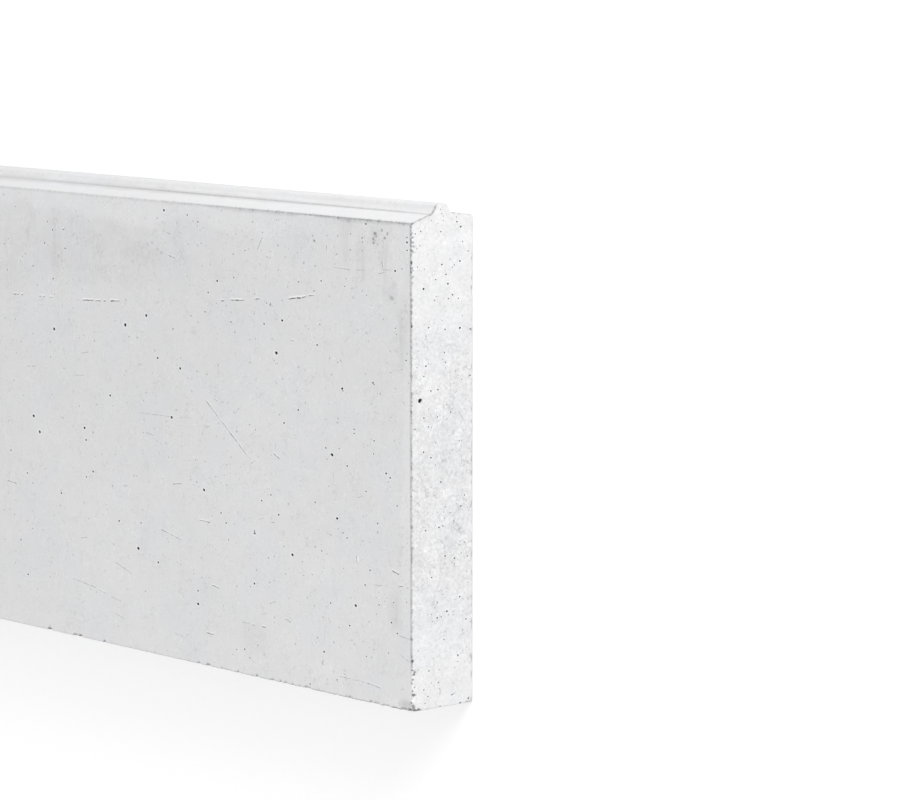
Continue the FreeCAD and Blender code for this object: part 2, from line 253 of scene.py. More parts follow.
END_EDGE_CHIPS = [
    (410.6, 234.5, 0.7, 0.3, 0.3, 0.45), (412.6, 238, 0.9, 0.5, 0.5, 0.5), (410.4, 243, 0.8, 0.3, 0.4, 0.5),
    (412, 246.5, 0.7, 0.4, 0.4, 0.4), (411.4, 250.8, 0.9, 0.6, 0.5, 0.5),
    (411.4, 263.2, 1.0, 0.7, 0.7, 0.8), (412.4, 268.8, 0.7, 0.4, 0.4, 0.45),
    (411, 272.8, 0.9, 0.5, 0.5, 0.5), (411.7, 326.7, 0.8, 0.6, 0.6, 0.85),
    (411.9, 358.5, 0.6, 0.3, 0.4, 0.3), (412, 640.5, 0.7, 0.4, 0.4, 0.35),
    (412.5, 661.4, 0.9, 0.7, 0.8, 0.9), (412.4, 670.6, 0.6, 0.5, 0.5, 0.7),
    (414.8, 672.2, 0.9, 0.3, 0.5, 0.7), (414, 674.8, 0.6, 0.6, 0.5, 0.7), (413.2, 680, 0.7, 0.4, 0.5, 0.7),
    (412, 683.5, 0.6, 0.3, 0.4, 0.6), (414.5, 687.8, 0.6, 0.3, 0.4, 0.6),
    (412.5, 691.8, 0.7, 0.4, 0.5, 0.65), (413.8, 695.6, 0.8, 1.3, 0.8, 0.75),
    (413, 700, 1.8, 1.4, 0.9, -0.12), (411.5, 703, 0.6, 0.3, 0.4, 0.6), (413.2, 707.8, 1.9, 1.2, 1.2, 0.5),
    (418.5, 710.5, 2.2, 0.7, 0.7, 0.7), (412.3, 223.5, 1.0, 0.8, 0.5, 0.5),
    (472.2, 327.6, 0.6, 0.6, 0.6, 0.5), (472.2, 373.8, 0.6, 0.6, 0.6, 0.45), (472, 459, 0.8, 0.6, 0.6, 0.4),
    (470.9, 621.3, 1.0, 1.0, 0.7, 0.35), (471, 655, 1.0, 0.9, 0.7, 0.35),
    (414.6, 711.2, 2.0, 0.8, 0.6, 0.75), (460.4, 703.6, 1.0, 0.5, 0.7, 0.85),
    (413.6, 666.5, 1.8, 0.5, 0.3, -0.06), (413.2, 677.3, 1.2, 0.5, 0.3, -0.06),
    (413.4, 685.6, 1.1, 0.5, 0.3, -0.06), (413.1, 242.8, 0.7, 0.4, 0.4, 0.5),
    (409.4, 240.5, 0.7, 0.35, 0.4, 0.45), (409.2, 246.3, 0.7, 0.35, 0.4, 0.45),
    (414.2, 246.8, 0.6, 0.4, 0.4, 0.5), (413.1, 252, 0.6, 0.4, 0.4, 0.5),
    (415.4, 253.1, 0.6, 0.4, 0.4, 0.45), (409.9, 268.6, 0.7, 0.35, 0.4, 0.5),
    (409.2, 270.9, 0.7, 0.35, 0.4, 0.45), (413.1, 271, 0.6, 0.4, 0.4, 0.5),
    (413.1, 277.2, 0.6, 0.35, 0.4, 0.45),
]

# Soft stains on the front: the pixel box that one fills, and its change of tone
FRONT_CLOUDS = [
    (0, 216, 190, 290, -0.04), (120, 240, 168, 268, -0.05), (86, 232, 106, 262, -0.03),
    (94, 264, 112, 282, -0.03), (0, 222, 30, 300, -0.025), (366, 222, 384, 248, -0.07),
    (292, 225, 310, 256, -0.03), (384, 282, 397, 306, -0.06), (334, 214, 356, 238, -0.04),
    (240, 616, 270, 660, -0.05), (384, 592, 410, 634, -0.028), (399, 296, 410, 350, -0.04),
    (306, 656, 336, 682, 0.035), (399, 694, 418, 718, -0.2), (340, 668, 360, 692, -0.03),
    (136, 520, 150, 560, -0.025), (300, 550, 350, 590, 0.02), (20, 600, 110, 616, -0.015),
    (386, 224, 410, 300, 0.03), (386, 697, 402, 706, 0.05),
]
FRONT_STREAKS = [
    (27, 208, 35, 244, -0.08), (50, 206, 62, 284, -0.06), (68, 212, 80, 244, -0.06),
    (336, 216, 352, 270, -0.05), (356, 226, 366, 300, -0.06), (380, 232, 394, 304, -0.08),
    (4, 214, 16, 300, -0.04), (396, 296, 408, 380, -0.06), (172, 206, 186, 262, -0.05),
    (384, 590, 402, 640, -0.05), (364, 640, 390, 680, -0.03), (7, 230, 11.5, 264, 0.07),
]

# Pale strips on the front: one below its top edge, fading out along the board, and one beside the near end
TOP_STRIP_DEPTH = 14.0
TOP_STRIP_EDGE = (-4.0, 3.0)  # its lower edge is soft between these heights, counted from its depth
TOP_STRIP_TONE = 0.055
TOP_STRIP_END_PX = ((230, 330), (330, 330))  # the strip fades out between these pixels
TOP_STRIP_LEFT = 0.15  # share of its tone beyond them
NEAR_STRIP_WIDTH = 8.5
NEAR_STRIP_EDGE = (-1.0, 1.0)  # in the same way, counted from its width
NEAR_STRIP_TONE = 0.035
NEAR_STRIP_ENDS = ((-115.0, -95.0), (40.0, 60.0))  # it fades in and out along the height between these

# The ends by the sign of X
NEAR_END = 1
FAR_END = -1

# Air holes: the number larger than a radius falls with a power of it
PIT_POWER = 2.4
PIT_LARGEST = 0.58  # of the scattered ones
PIT_LARGE_FROM = 0.6  # above this radius a hole has more sides
PIT_SIDES_LARGE = 9
PIT_SIDES_SMALL = 6
PIT_RINGS = [(1.0, 0.0, 0.0), (0.8, 0.6, 0.85)]  # share of the radius, share of the depth, painted shade
HIGHLIGHT_RINGS = [(2.0, 0.0, 0.0), (1.3, 0.0, -0.16)]  # painted highlight on the rims of the holes that stand out
MARKED_RINGS = HIGHLIGHT_RINGS + [(1.0, 0.0, 0.0), (0.86, 0.6, 0.97)]
PIT_SHADE_SHARES = (0.3, 0.85)  # painted shade in the small scattered holes
MARKED_PIT_SHADES = ((0.5, 0.9), (0.7, 1.0))  # painted shade by radius, of the holes that stand out
BLOT_RINGS = [(1.0, 0.0, 0.0), (0.55, 0.5, 0.7)]
BLOT_DEPTH_SHARE = 0.12
PIT_DEPTH_RATIOS = (1.0, 1.5)
PIT_STRETCHES = (1.0, 1.25)
PIT_UNEVENNESS = (0.88, 1.12)
MARKED_LEANS = (-0.35, 0.35)  # off level
PIT_CLAIM = 1.3  # other marks keep this many radii away

# Air holes by zone: distances from the +X end, number in the density's area and smallest radius
DENSITY_AREA = 1000.0  # square millimetres, for holes and scratches
FRONT_ZONES = [(0.0, 215.0, 8.2, 0.22), (215.0, 440.0, 4.0, 0.24), (440.0, LENGTH, 1.2, 0.3)]
BACK_ZONES = [(0.0, LENGTH, 0.6, 0.3)]
NARROW_ZONES = [(0.0, 440.0, 4.0, 0.2), (440.0, LENGTH, 1.4, 0.28)]
END_PIT_DENSITY = {NEAR_END: 26.0, FAR_END: 9.0}
END_PIT_SMALLEST = {NEAR_END: 0.2, FAR_END: 0.3}

# Scratches and scored lines
NEAR_LINE_DENSITY = 1.8
FAR_LINE_DENSITY = 0.25
LINE_STEP = 1.6
LINE_WANDER = 0.2
LINE_SWELL = (0.55, 1.25)
LIP_HIGHLIGHTS = ((0.2, -0.6), (0.8, -0.6), (1.15, 0.0))  # distance above a line, and the painted highlight on its lip as negative soil by millimetre of depth
LIP_HIGHLIGHT_FROM = 0.25  # past this depth
LINE_TURNS = (0.0, math.pi / 2.0, math.pi / 2.0, 0.6, -0.5)
LINE_TURN_SPREAD = 0.2
LINE_LENGTHS = (2.0, 8.0)
LINE_HALF_WIDTHS = (0.16, 0.3)
LINE_DEPTH_SHARE = 0.6
# Painted shade in the scattered scratches
LINE_SHADES = (0.08, 0.4)
MARKED_LINE_SHADE = 1.25  # painted shade in scored lines, for each millimetre of depth

# Broken edges
CHIP_SPACING = {"near": 3.2, "plain": 9.0}
CHIP_HALF_LENGTHS = (0.4, 1.7)
CHIP_REACHES = (0.4, 1.2)
CHIP_DEPTHS = (0.12, 0.6)
CHIP_SOILS = (0.0, 0.4)
CHIP_SIZE_BIAS = 1.8
CHIP_SIZE_SPREAD = (0.6, 1.0)
CHIP_FADE = ((100.0, 260.0), (1.0, 0.3))  # distances from the +X end, and what is left of the depth and soil
CHIP_OFFSET = 0.6
CHIP_FARTHEST = -1.6  # outside the end face
CHIP_SOIL_RISE = 2.0  # the soil rises this much faster than the depth from the rim inwards
CRUMBLE_SIZE = 1.3
CRUMBLE_DEPTH = 0.22
CRUMBLE_REACH = 0.9

# Dark lines along the edges: half width at full strength, and the reach over which it falls to nothing
EDGE_LINE_WIDTH = (0.3, 0.4)
CREASE_SHADE_WIDTH = (0.5, 1.0)
END_LINE_WIDTH = (0.55, 0.6)
# The lines of front_root and back_root, in the coves at the tongue's roots, are painted shade with grime
EDGE_LINES = {  # strength by edge
    "back_base": 0.3, "front_base": 0.55, "front_top": 0.5,
    "front_root": 0.62, "back_root": 0.4, "back_top": 0.3,
}
EDGE_LINE_FADE = ((60.0, 250.0), (1.0, 0.2))  # distances from the +X end, and what is left of the dark line
EDGE_LINE_FADES = {  # the same, where an edge has its own
    "front_root": ((6.0, 30.0, 60.0, 155.0, 255.0, 310.0, 430.0), (0.1, 0.4, 0.45, 0.55, 0.68, 0.5, 0.2)),
}
END_LINE_SHIFTS = (-0.6, -0.15)  # towards the front face, and towards the shoulder and the tongue
END_LINE_FRONT = 0.5
END_LINE_START = (22.0, 30.0)  # above the base, where the edge is too broken to show it
END_LINE_TONGUE = 0.62
END_LINE_BACK = 0.1

# Painted shade with grime in the corner below the tongue, and a darker band below the front top arris;
# distances are from the +X end
ROOT_SHADE = -0.15
ROOT_SHADE_FORWARD = 2.4  # its middle lies this far in front of the root, on the shoulder
ROOT_SHADE_HALVES = (2.6, 5.0)  # up the tongue, and along the shoulder
ROOT_SHADE_EDGE = (0.1, 1.0)  # shares of these between which it fades
ROOT_SHADE_SPAN = (320.0, 60.0)
ROOT_SHADE_WIDTHS = (1.5, 0.6)  # relative, at the ends of the span
TOP_SHADE = -0.2
TOP_SHADE_REACH = (0.5, 2.8)  # where it begins to fade below the arris, and where it ends
TOP_SHADE_SPAN = (270.0, 150.0)  # it gains its strength between these
TOP_SHADE_FAR = 0.45  # share of its strength before that

# Spacing of the mesh
EDGE_BANDS = (0.5, 1.5)
CREASE_BANDS = (-1.6, -0.6, 0.6, 1.6)
OUTER_BAND = 4.5
NEAR_STRETCH = 440.0  # length at the +X end with the finest edges
FRONT_EDGE_STEPS = (0.8, 3.0)  # in the near stretch, and beyond it
BACK_EDGE_STEPS = (4.0, 5.0)
SOFT_EDGE_STEPS = (2.4, 6.0)
OUTER_BAND_STEPS = (3.5, 9.0)
RING_STEPS = {NEAR_END: (0.6, 2.0), FAR_END: (1.8, 2.4)}  # round the front, and along the back
RING_SAMPLES = 4  # in a millimetre, to find the nearest place on the ring
END_MARGIN = 4.2
END_LEVELS = {NEAR_END: (3.0, 1.5, 0.7, 0.3), FAR_END: (2.6, 1.0)}
END_ANGLES = (0.0, 30.0, 60.0, 90.0)
CAP_INSETS = {NEAR_END: (0.4, 1.0, 1.6, 2.2, 3.2), FAR_END: (0.7, 1.8)}  # the last of each is unbroken
CAP_INSET_SHARE = 0.9
CAP_MARGIN = 2.7
GRID_STEP = 16.0
GRID_JITTER = (0.2, 0.8)
END_GRID_STEP = 6.0
GRID_CLEARANCE = 1.2
FLAT_MARGIN = 2.2
CDT_TOLERANCE = 1e-5
SHARP_ANGLE = math.radians(36.0)

# Patterns of the concrete: noise of a size, detail and roughness, a span of it, and what the span becomes
NOISE_SPAN = (0.3, 0.7)
NOISE_MIDDLE = 0.5
CLOUD = ((90.0, 3.0, 0.5), NOISE_SPAN, (0.985, 1.015))
MOTTLE = ((12.0, 5.0, 0.6), NOISE_SPAN, (0.985, 1.015))
GRAIN = ((1.1, 2.0, 0.5), NOISE_SPAN, (0.993, 1.007))
TINT = ((40.0, 4.0, 0.6), (0.45, 0.65), (0.0, 1.0))
ROUGHNESS = ((20.0, 3.0, 0.5), NOISE_SPAN, (0.84, 0.94))
PATCHINESS = ((5.0, 4.0, 0.6), NOISE_SPAN, (0.35, 1.5))  # of the clouds
RUNS = ((4.5, 3.0, 0.5), (0.38, 0.62), (0.0, 1.4))
RUN_STRETCH = (1.0, 0.1, 1.0)
TOP_STRIP_WAVE = ((45.0, 3.0, 0.5), NOISE_SPAN, (-8.0 * MM, 8.0 * MM))  # of its lower edge
BRUSHED = ((1.6, 3.0, 0.6), NOISE_SPAN, (-0.008, 0.008))
BRUSH_STRETCH = (1.0, 0.08, 1.0)
DARK_SPECKS = ((1.7, 2.0, 0.6), (0.62, 0.8), (0.0, -0.2))
PALE_SPECKS = ((2.3, 2.0, 0.6), (0.3, 0.39), (0.07, 0.0))
END_GRAINS = ((2.4, 3.0, 0.65), NOISE_SPAN, (-0.11, 0.1))
END_MOTTLE = ((9.0, 3.0, 0.5), NOISE_SPAN, (-0.045, 0.045))
EDGE_DOTS = ((1.9, 2.0, 0.6), (0.4, 0.6), (0.4, 0.78))
SHADE_UNEVENNESS = ((22.0, 3.0, 0.5), NOISE_SPAN, (0.6, 1.4))
BUMP_PATTERNS = ((0.9, 4.0, 0.6), (3.0, 3.0, 0.5))
BUMP_STRENGTH = 0.2
BUMP_DISTANCE = 0.0002  # metres
WARP_PATTERN = (14.0, 3.0, 0.5)
WARP_RANGE = 16.0  # to and fro, of a stain's places
STAIN_EDGE = (0.45, 1.15)  # a stain fades out between these shares of its half size

# Hair lines: size of the noise in millimetres, half width as a part of its range, and change of tone
FRONT_HAIRS = [(9.0, 0.025, -0.07), (12.0, 0.025, 0.035)]
END_HAIRS = [(4.0, 0.05, -0.2), (5.0, 0.05, 0.12)]
HAIR_NOISE = (2.0, 0.5)  # detail and roughness
HAIR_CORE = 0.3  # share of the half width with the full tone
HAIR_PATCH_SIZE = 1.9  # times the size of the lines' own noise
HAIR_PATCH_SPAN = (0.47, 0.6)

# Tones of the front and the ends
FRONT_FALL = ((-155.0, 145.0), (0.03, -0.03))  # two heights, and the tone at each
FRONT_FACING = (0.5, 0.8)  # parts of the normal that point out of the face, between which its tones begin
TOP_SHADE_FACING = (0.2, 0.5)
END_FACING = (0.6, 0.85)
END_PALENESS = 0.018
END_PALE_TOP = ((0.0, 140.0), (0.0, 0.045))
END_PALE_BASE = ((-155.0, -20.0), (0.07, 0.0))
END_GRAIN_MIDDLE = -20.0  # height at which the grain is strongest
END_GRAIN_FADE = ((30.0, 130.0), (1.0, 0.5))  # distances from it, and what is left of the grain
SOIL_AND_SHADE_TONES = (1.97, 0.03)  # of the palest and the darkest soil and painted shade, the pale end being painted highlight

# Looks: linear colours, and light levels at which a colour renders about as it is written
CONCRETE_COLOUR = (0.765, 0.765, 0.765, 1.0)
BLUER_COLOUR = (0.757, 0.76, 0.782, 1.0)
CONCRETE_SPECULAR = 0.25
MIX_SHARE, MIX_FIRST, MIX_SECOND, MIX_RESULT = 0, 6, 7, 2  # sockets of a node that mixes colours
FLOOR_COLOUR = (0.86, 0.86, 0.86, 1.0)
FLOOR_LIFT = 0.28
FLOOR_SIZE = 40.0
WHITE = (1.0, 1.0, 1.0, 1.0)
SKY_STRENGTH = 0.8
LIT_PLACE = (0.7, 0.0, 0.05)
LAMP_DIRECTION = (0.62, 0.68, 0.28)
LAMP_DISTANCE = 3.0
LAMP_SIZE = 1.6
LAMP_LEVEL = 0.43
CAMERA_REACH = 100.0

rng = random.Random(SEED)


# Camera geometry, shared by the camera and by the marks that are placed by pixel
def view_axes():
    """Right, down and forward of the camera as unit vectors; the board's height runs up the picture."""
    forward = Vector((-math.sin(VIEW_TURN) * math.cos(VIEW_RISE), -math.sin(VIEW_RISE),
                      -math.cos(VIEW_TURN) * math.cos(VIEW_RISE)))
    right = forward.cross(Vector((0.0, 1.0, 0.0))).normalized()
    return right, forward.cross(right), forward


def pixel_ray(pixel):
    """Direction through a pixel, one unit deep along the view."""
    right, down, forward = view_axes()
    across = (pixel[0] - IMAGE_WIDTH / 2.0) / FOCAL_PX
    below = (pixel[1] - IMAGE_HEIGHT / 2.0) / FOCAL_PX
    return right * across + down * below + forward


def camera_place():
    """Camera position in millimetres, from where the near front bottom corner shows."""
    corner = Vector((END_X, BASE_Y, THICKNESS))
    return corner - pixel_ray(NEAR_CORNER_PX) * NEAR_CORNER_DEPTH


def pixel_on_plane(pixel, axis, level):
    """Point where the ray through a pixel meets the plane at a level of one axis."""
    start = camera_place()
    ray = pixel_ray(pixel)
    return start + ray * ((level - start[axis]) / ray[axis])


def pixel_on_front(pixel):
    """X and Y of a pixel on the front face."""
    point = pixel_on_plane(pixel, 2, THICKNESS)
    return point.x, point.y


def pixel_on_end(pixel):
    """Y and Z of a pixel on the near end."""
    point = pixel_on_plane(pixel, 0, END_X)
    return point.y, point.z


# The section, unrolled from the middle of the back round by the base, the front and the tongue
class Section:
    """Knots of the section outline with their outward normals, by distance round it."""

    def __init__(self):
        self.s = []
        self.y = []
        self.z = []
        self.normal_y = []
        self.normal_z = []
        self.arcs = {}
        self.add_outline()
        self.length = self.s[-1]

    def add_knot(self, y, z, normal):
        if self.s:
            gap = math.hypot(y - self.y[-1], z - self.z[-1])
            self.s.append(self.s[-1] + gap)
        else:
            self.s.append(0.0)
        self.y.append(y)
        self.z.append(z)
        self.normal_y.append(normal[0])
        self.normal_z.append(normal[1])

    def add_outline(self):
        """Every corner in turn, from the seam in the middle of the back and round to it again."""
        top = TONGUE_TOP_WIDTH / 2.0
        tongue_y = BASE_Y + OVERALL_HEIGHT
        front_root_y = FRONT_TOP_Y + FRONT_SHOULDER_RISE
        back_root_y = BASE_Y + BACK_HEIGHT + BACK_SHOULDER_RISE
        back_root_z = TONGUE_MIDDLE_Z - TONGUE_ROOT_WIDTH / 2.0
        corners = [
            (BASE_Y, 0.0, ARRIS_RADIUS, "back_base"),
            (BASE_Y, THICKNESS, ARRIS_RADIUS, "front_base"),
            (FRONT_TOP_Y, THICKNESS, ARRIS_RADIUS, "front_top"),
            (front_root_y, FRONT_ROOT_Z, FRONT_ROOT_RADIUS, "front_root"),
            (tongue_y, TONGUE_MIDDLE_Z + top, TONGUE_TOP_RADIUS, "tongue_front"),
            (tongue_y, TONGUE_MIDDLE_Z - top, TONGUE_TOP_RADIUS, "tongue_back"),
            (back_root_y, back_root_z, BACK_ROOT_RADIUS, "back_root"),
            (BASE_Y + BACK_HEIGHT, 0.0, ARRIS_RADIUS, "back_top"),
        ]
        seam = (0.0, 0.0)
        seam_normal = (0.0, -1.0)
        self.add_knot(*seam, seam_normal)
        for index, (y, z, radius, name) in enumerate(corners):
            before = corners[index - 1][:2] if index else seam
            after = corners[index + 1][:2] if index + 1 < len(corners) else seam
            self.add_arc(Vector(before), Vector((y, z)), Vector(after), radius, name)
        self.add_knot(*seam, seam_normal)

    def add_arc(self, before, corner, after, radius, name):
        """Knots along the arc that rounds a corner. Normals point to the right of the way round."""
        into = (corner - before).normalized()
        out = (after - corner).normalized()
        turn = into.angle_signed(out)
        first_normal = Vector((-into.y, into.x))
        side = 1.0 if into.cross(out) < 0.0 else -1.0
        trim = radius * math.tan(abs(turn) / 2.0)
        centre = corner - into * trim - first_normal * (radius * side)
        start = len(self.s)
        for step in range(ARC_STEPS + 1):
            share = step / ARC_STEPS
            normal = first_normal.copy()
            normal.rotate(Matrix.Rotation(-turn * share, 2))
            place = centre + normal * (radius * side)
            self.add_knot(place.x, place.y, normal)
        self.arcs[name] = (self.s[start], self.s[-1])

    def at(self, s):
        """Place and outward normal at distances round the section."""
        return [np.interp(s, self.s, values) for values in (self.y, self.z, self.normal_y, self.normal_z)]

    def knots_of(self, name):
        first, last = self.arcs[name]
        return [s for s in self.s if first <= s <= last]

    def middle_and_half(self, name):
        first, last = self.arcs[name]
        return (first + last) / 2.0, (last - first) / 2.0

    def on_arc(self, s):
        """True where a distance lies on one of the rounded corners."""
        found = np.zeros(len(s), dtype=bool)
        for first, last in self.arcs.values():
            found |= (s >= first) & (s <= last)
        return found

    def depth_inside(self, y, z):
        """Distance of one place from the outline, negative outside it."""
        start = np.column_stack([self.y[:-1], self.z[:-1]])
        way = np.column_stack([self.y[1:], self.z[1:]]) - start
        gap = np.array([y, z]) - start
        share = np.clip((gap * way).sum(1) / (way * way).sum(1), 0.0, 1.0)
        nearest = np.hypot(*(gap - way * share[:, None]).T).min()
        above = (start[:, 1] > z) != (start[:, 1] + way[:, 1] > z)
        rising = np.where(above, way[:, 1], 1.0)
        crossing = above & (y < start[:, 0] + way[:, 0] * (z - start[:, 1]) / rising)
        return nearest if crossing.sum() % 2 else -nearest


section = Section()


# Marks cut into a flat, unrolled surface
class Surface:
    """Points of an unrolled surface in millimetres, each with its depth below the face and its soil and
    painted shade, which is a painted highlight where negative.
    """

    CELL = 4.0  # side of the squares by which claimed places are found

    def __init__(self):
        self.points = []
        self.depth = []
        self.soil_and_shade = []
        self.lines = []
        self.taken = {}

    def add(self, point, depth=0.0, soil_and_shade=0.0):
        self.points.append(point)
        self.depth.append(depth)
        self.soil_and_shade.append(soil_and_shade)
        return len(self.points) - 1

    def add_clear(self, point, depth=0.0, soil_and_shade=0.0):
        """Adds a point that no mark covers."""
        if self.is_clear(point, 0.0):
            self.add(point, depth, soil_and_shade)

    def cells_near(self, point, reach):
        low = [math.floor((value - reach) / self.CELL) for value in point]
        high = [math.floor((value + reach) / self.CELL) for value in point]
        return [(i, j) for i in range(low[0], high[0] + 1) for j in range(low[1], high[1] + 1)]

    def claim(self, point, reach):
        """Keeps later marks and grid points out of a circle."""
        for cell in self.cells_near(point, reach):
            self.taken.setdefault(cell, []).append((point, reach))

    def is_clear(self, point, reach):
        """True where a circle touches no mark."""
        for cell in self.cells_near(point, reach):
            for other, other_reach in self.taken.get(cell, ()):
                if math.dist(point, other) < reach + other_reach:
                    return False
        return True

    def add_pit(self, centre, radius, rings=PIT_RINGS, soil_and_shade_share=1.0, depth_share=1.0, lean=None):
        """A round, slightly uneven hollow: its rings from the rim inwards, and its floor."""
        sides = PIT_SIDES_LARGE if radius > PIT_LARGE_FROM else PIT_SIDES_SMALL
        depth = radius * depth_share * rng.uniform(*PIT_DEPTH_RATIOS)
        start = rng.uniform(0.0, math.tau)
        stretch = rng.uniform(*PIT_STRETCHES)
        lean = rng.uniform(0.0, math.pi) if lean is None else lean + rng.uniform(*MARKED_LEANS)
        reaches = [radius * rng.uniform(*PIT_UNEVENNESS) for _ in range(sides)]
        # Soil in the rings is painted shade in air holes, a painted highlight round the rims of those that
        # stand out, and stain in soft dark spots
        for share, ring_depth, soil_and_shade in rings:
            for side, reach in enumerate(reaches):
                turn = start + math.tau * side / sides
                along = reach * share * stretch * math.cos(turn)
                across = reach * share / stretch * math.sin(turn)
                place = (centre[0] + along * math.cos(lean) - across * math.sin(lean),
                         centre[1] + along * math.sin(lean) + across * math.cos(lean))
                self.add(place, depth * ring_depth, soil_and_shade * soil_and_shade_share)
        self.add(centre, depth, soil_and_shade_share)
        self.claim(centre, radius * PIT_CLAIM * rings[0][0])

    def add_marked_pits(self, pits, to_place, lean):
        """The holes of a list that stand out in the photograph."""
        for x, y, radius in pits:
            soil_and_shade = np.interp(radius, *MARKED_PIT_SHADES)
            self.add_pit(to_place((x, y)), radius, MARKED_RINGS, soil_and_shade, lean=lean)

    def add_line(self, first, last, half_width, depth, soil_and_shade, lip_highlights=()):
        """A scored line: two sides and a floor between them, tapering out at both ends, with painted shade
        along its floor and a painted highlight on the lip above where it is given one.
        """
        first = Vector(first)
        last = Vector(last)
        way = (last - first).normalized()
        side = Vector((-way.y, way.x)) * half_width
        length = (last - first).length
        count = max(2, round(length / LINE_STEP))
        rows = ([], [], [])
        tips = [self.add(tuple(end)) for end in (first, last)]
        for step in range(count):
            share = (step + 0.5) / count
            wander = side * rng.uniform(-LINE_WANDER, LINE_WANDER)
            place = first.lerp(last, share) + wander
            swell = rng.uniform(*LINE_SWELL)
            rows[0].append(self.add(tuple(place - side * swell)))
            rows[1].append(self.add(tuple(place), depth * swell, soil_and_shade * swell))
            rows[2].append(self.add(tuple(place + side * swell)))
            for gap, lip_highlight in lip_highlights:
                self.add(tuple(place + side * (swell + gap / half_width)), 0.0, lip_highlight)
            self.claim(tuple(place), half_width + LINE_STEP / 2.0)
        for row in rows:
            self.lines.extend(zip([tips[0]] + row, row + [tips[1]]))
        for end in (first, last):
            self.claim(tuple(end), half_width + LINE_STEP / 2.0)

    def scatter_pits(self, low, high, density, smallest, has_room=None):
        """Small air holes spread at random over a rectangle."""
        area = (high[0] - low[0]) * (high[1] - low[1])
        cut = 1.0 - (smallest / PIT_LARGEST) ** PIT_POWER
        for _ in range(round(area * density / DENSITY_AREA)):
            radius = smallest * (1.0 - cut * rng.random()) ** (-1.0 / PIT_POWER)
            place = (rng.uniform(low[0], high[0]), rng.uniform(low[1], high[1]))
            allowed = has_room is None or has_room(place, radius)
            if allowed and self.is_clear(place, radius * PIT_CLAIM):
                self.add_pit(place, radius, soil_and_shade_share=rng.uniform(*PIT_SHADE_SHARES))

    def scatter_lines(self, low, high, density):
        """Short fine scratches spread at random over a rectangle."""
        area = (high[0] - low[0]) * (high[1] - low[1])
        for _ in range(round(area * density / DENSITY_AREA)):
            turn = rng.choice(LINE_TURNS) + rng.gauss(0.0, LINE_TURN_SPREAD)
            length = rng.uniform(*LINE_LENGTHS)
            first = Vector((rng.uniform(low[0], high[0]), rng.uniform(low[1], high[1])))
            last = first + Vector((math.cos(turn), math.sin(turn))) * length
            inside = low[0] < last.x < high[0] and low[1] < last.y < high[1]
            middle = tuple(first.lerp(last, 0.5))
            if inside and self.is_clear(middle, length / 2.0 + LINE_STEP):
                width = rng.uniform(*LINE_HALF_WIDTHS)
                self.add_line(first, last, width, width * LINE_DEPTH_SHARE, rng.uniform(*LINE_SHADES))

    def fill_grid(self, low, high, step, has_room=None):
        """Loose grid over what is left of a rectangle, so that no triangle is very long."""
        columns = max(1, round((high[0] - low[0]) / step))
        rows = max(1, round((high[1] - low[1]) / step))
        for i in range(columns):
            for j in range(rows):
                place = (low[0] + (i + rng.uniform(*GRID_JITTER)) * (high[0] - low[0]) / columns,
                         low[1] + (j + rng.uniform(*GRID_JITTER)) * (high[1] - low[1]) / rows)
                allowed = has_room is None or has_room(place, GRID_CLEARANCE)
                if allowed and self.is_clear(place, GRID_CLEARANCE):
                    self.add(place)

    def triangulate(self, outline=None):
        """Places, triangles, depth and soil of the mesh between the points, and each place's first point.

        An outline is a list of points counterclockwise, and only what lies inside it is kept.
        """
        points = [Vector(point) for point in self.points]
        outlines = [outline] if outline else []
        made = delaunay_2d_cdt(points, self.lines, outlines, 0, CDT_TOLERANCE, True)
        made_places, _, faces, point_origins, _, face_origins = made
        places = np.array([tuple(place) for place in made_places])
        triangles = np.array([face for face, inside in zip(faces, face_origins) if inside or not outline])
        origins = [origin[0] if origin else None for origin in point_origins]
        depth = np.array([0.0 if i is None else self.depth[i] for i in origins])
        soil_and_shade = np.array([0.0 if i is None else self.soil_and_shade[i] for i in origins])
        return places, triangles, depth, soil_and_shade, origins


# Broken edges
def beside(distance, half, reach):
    """One within half a width of a line, falling to nothing at a reach beside that."""
    return np.clip(1.0 - (np.abs(distance) - half) / reach, 0.0, 1.0)


def darker_of(soil_and_shade, other):
    """Of two soils the one that shows more, dark or pale."""
    return np.where(np.abs(other) > np.abs(soil_and_shade), other, soil_and_shade)


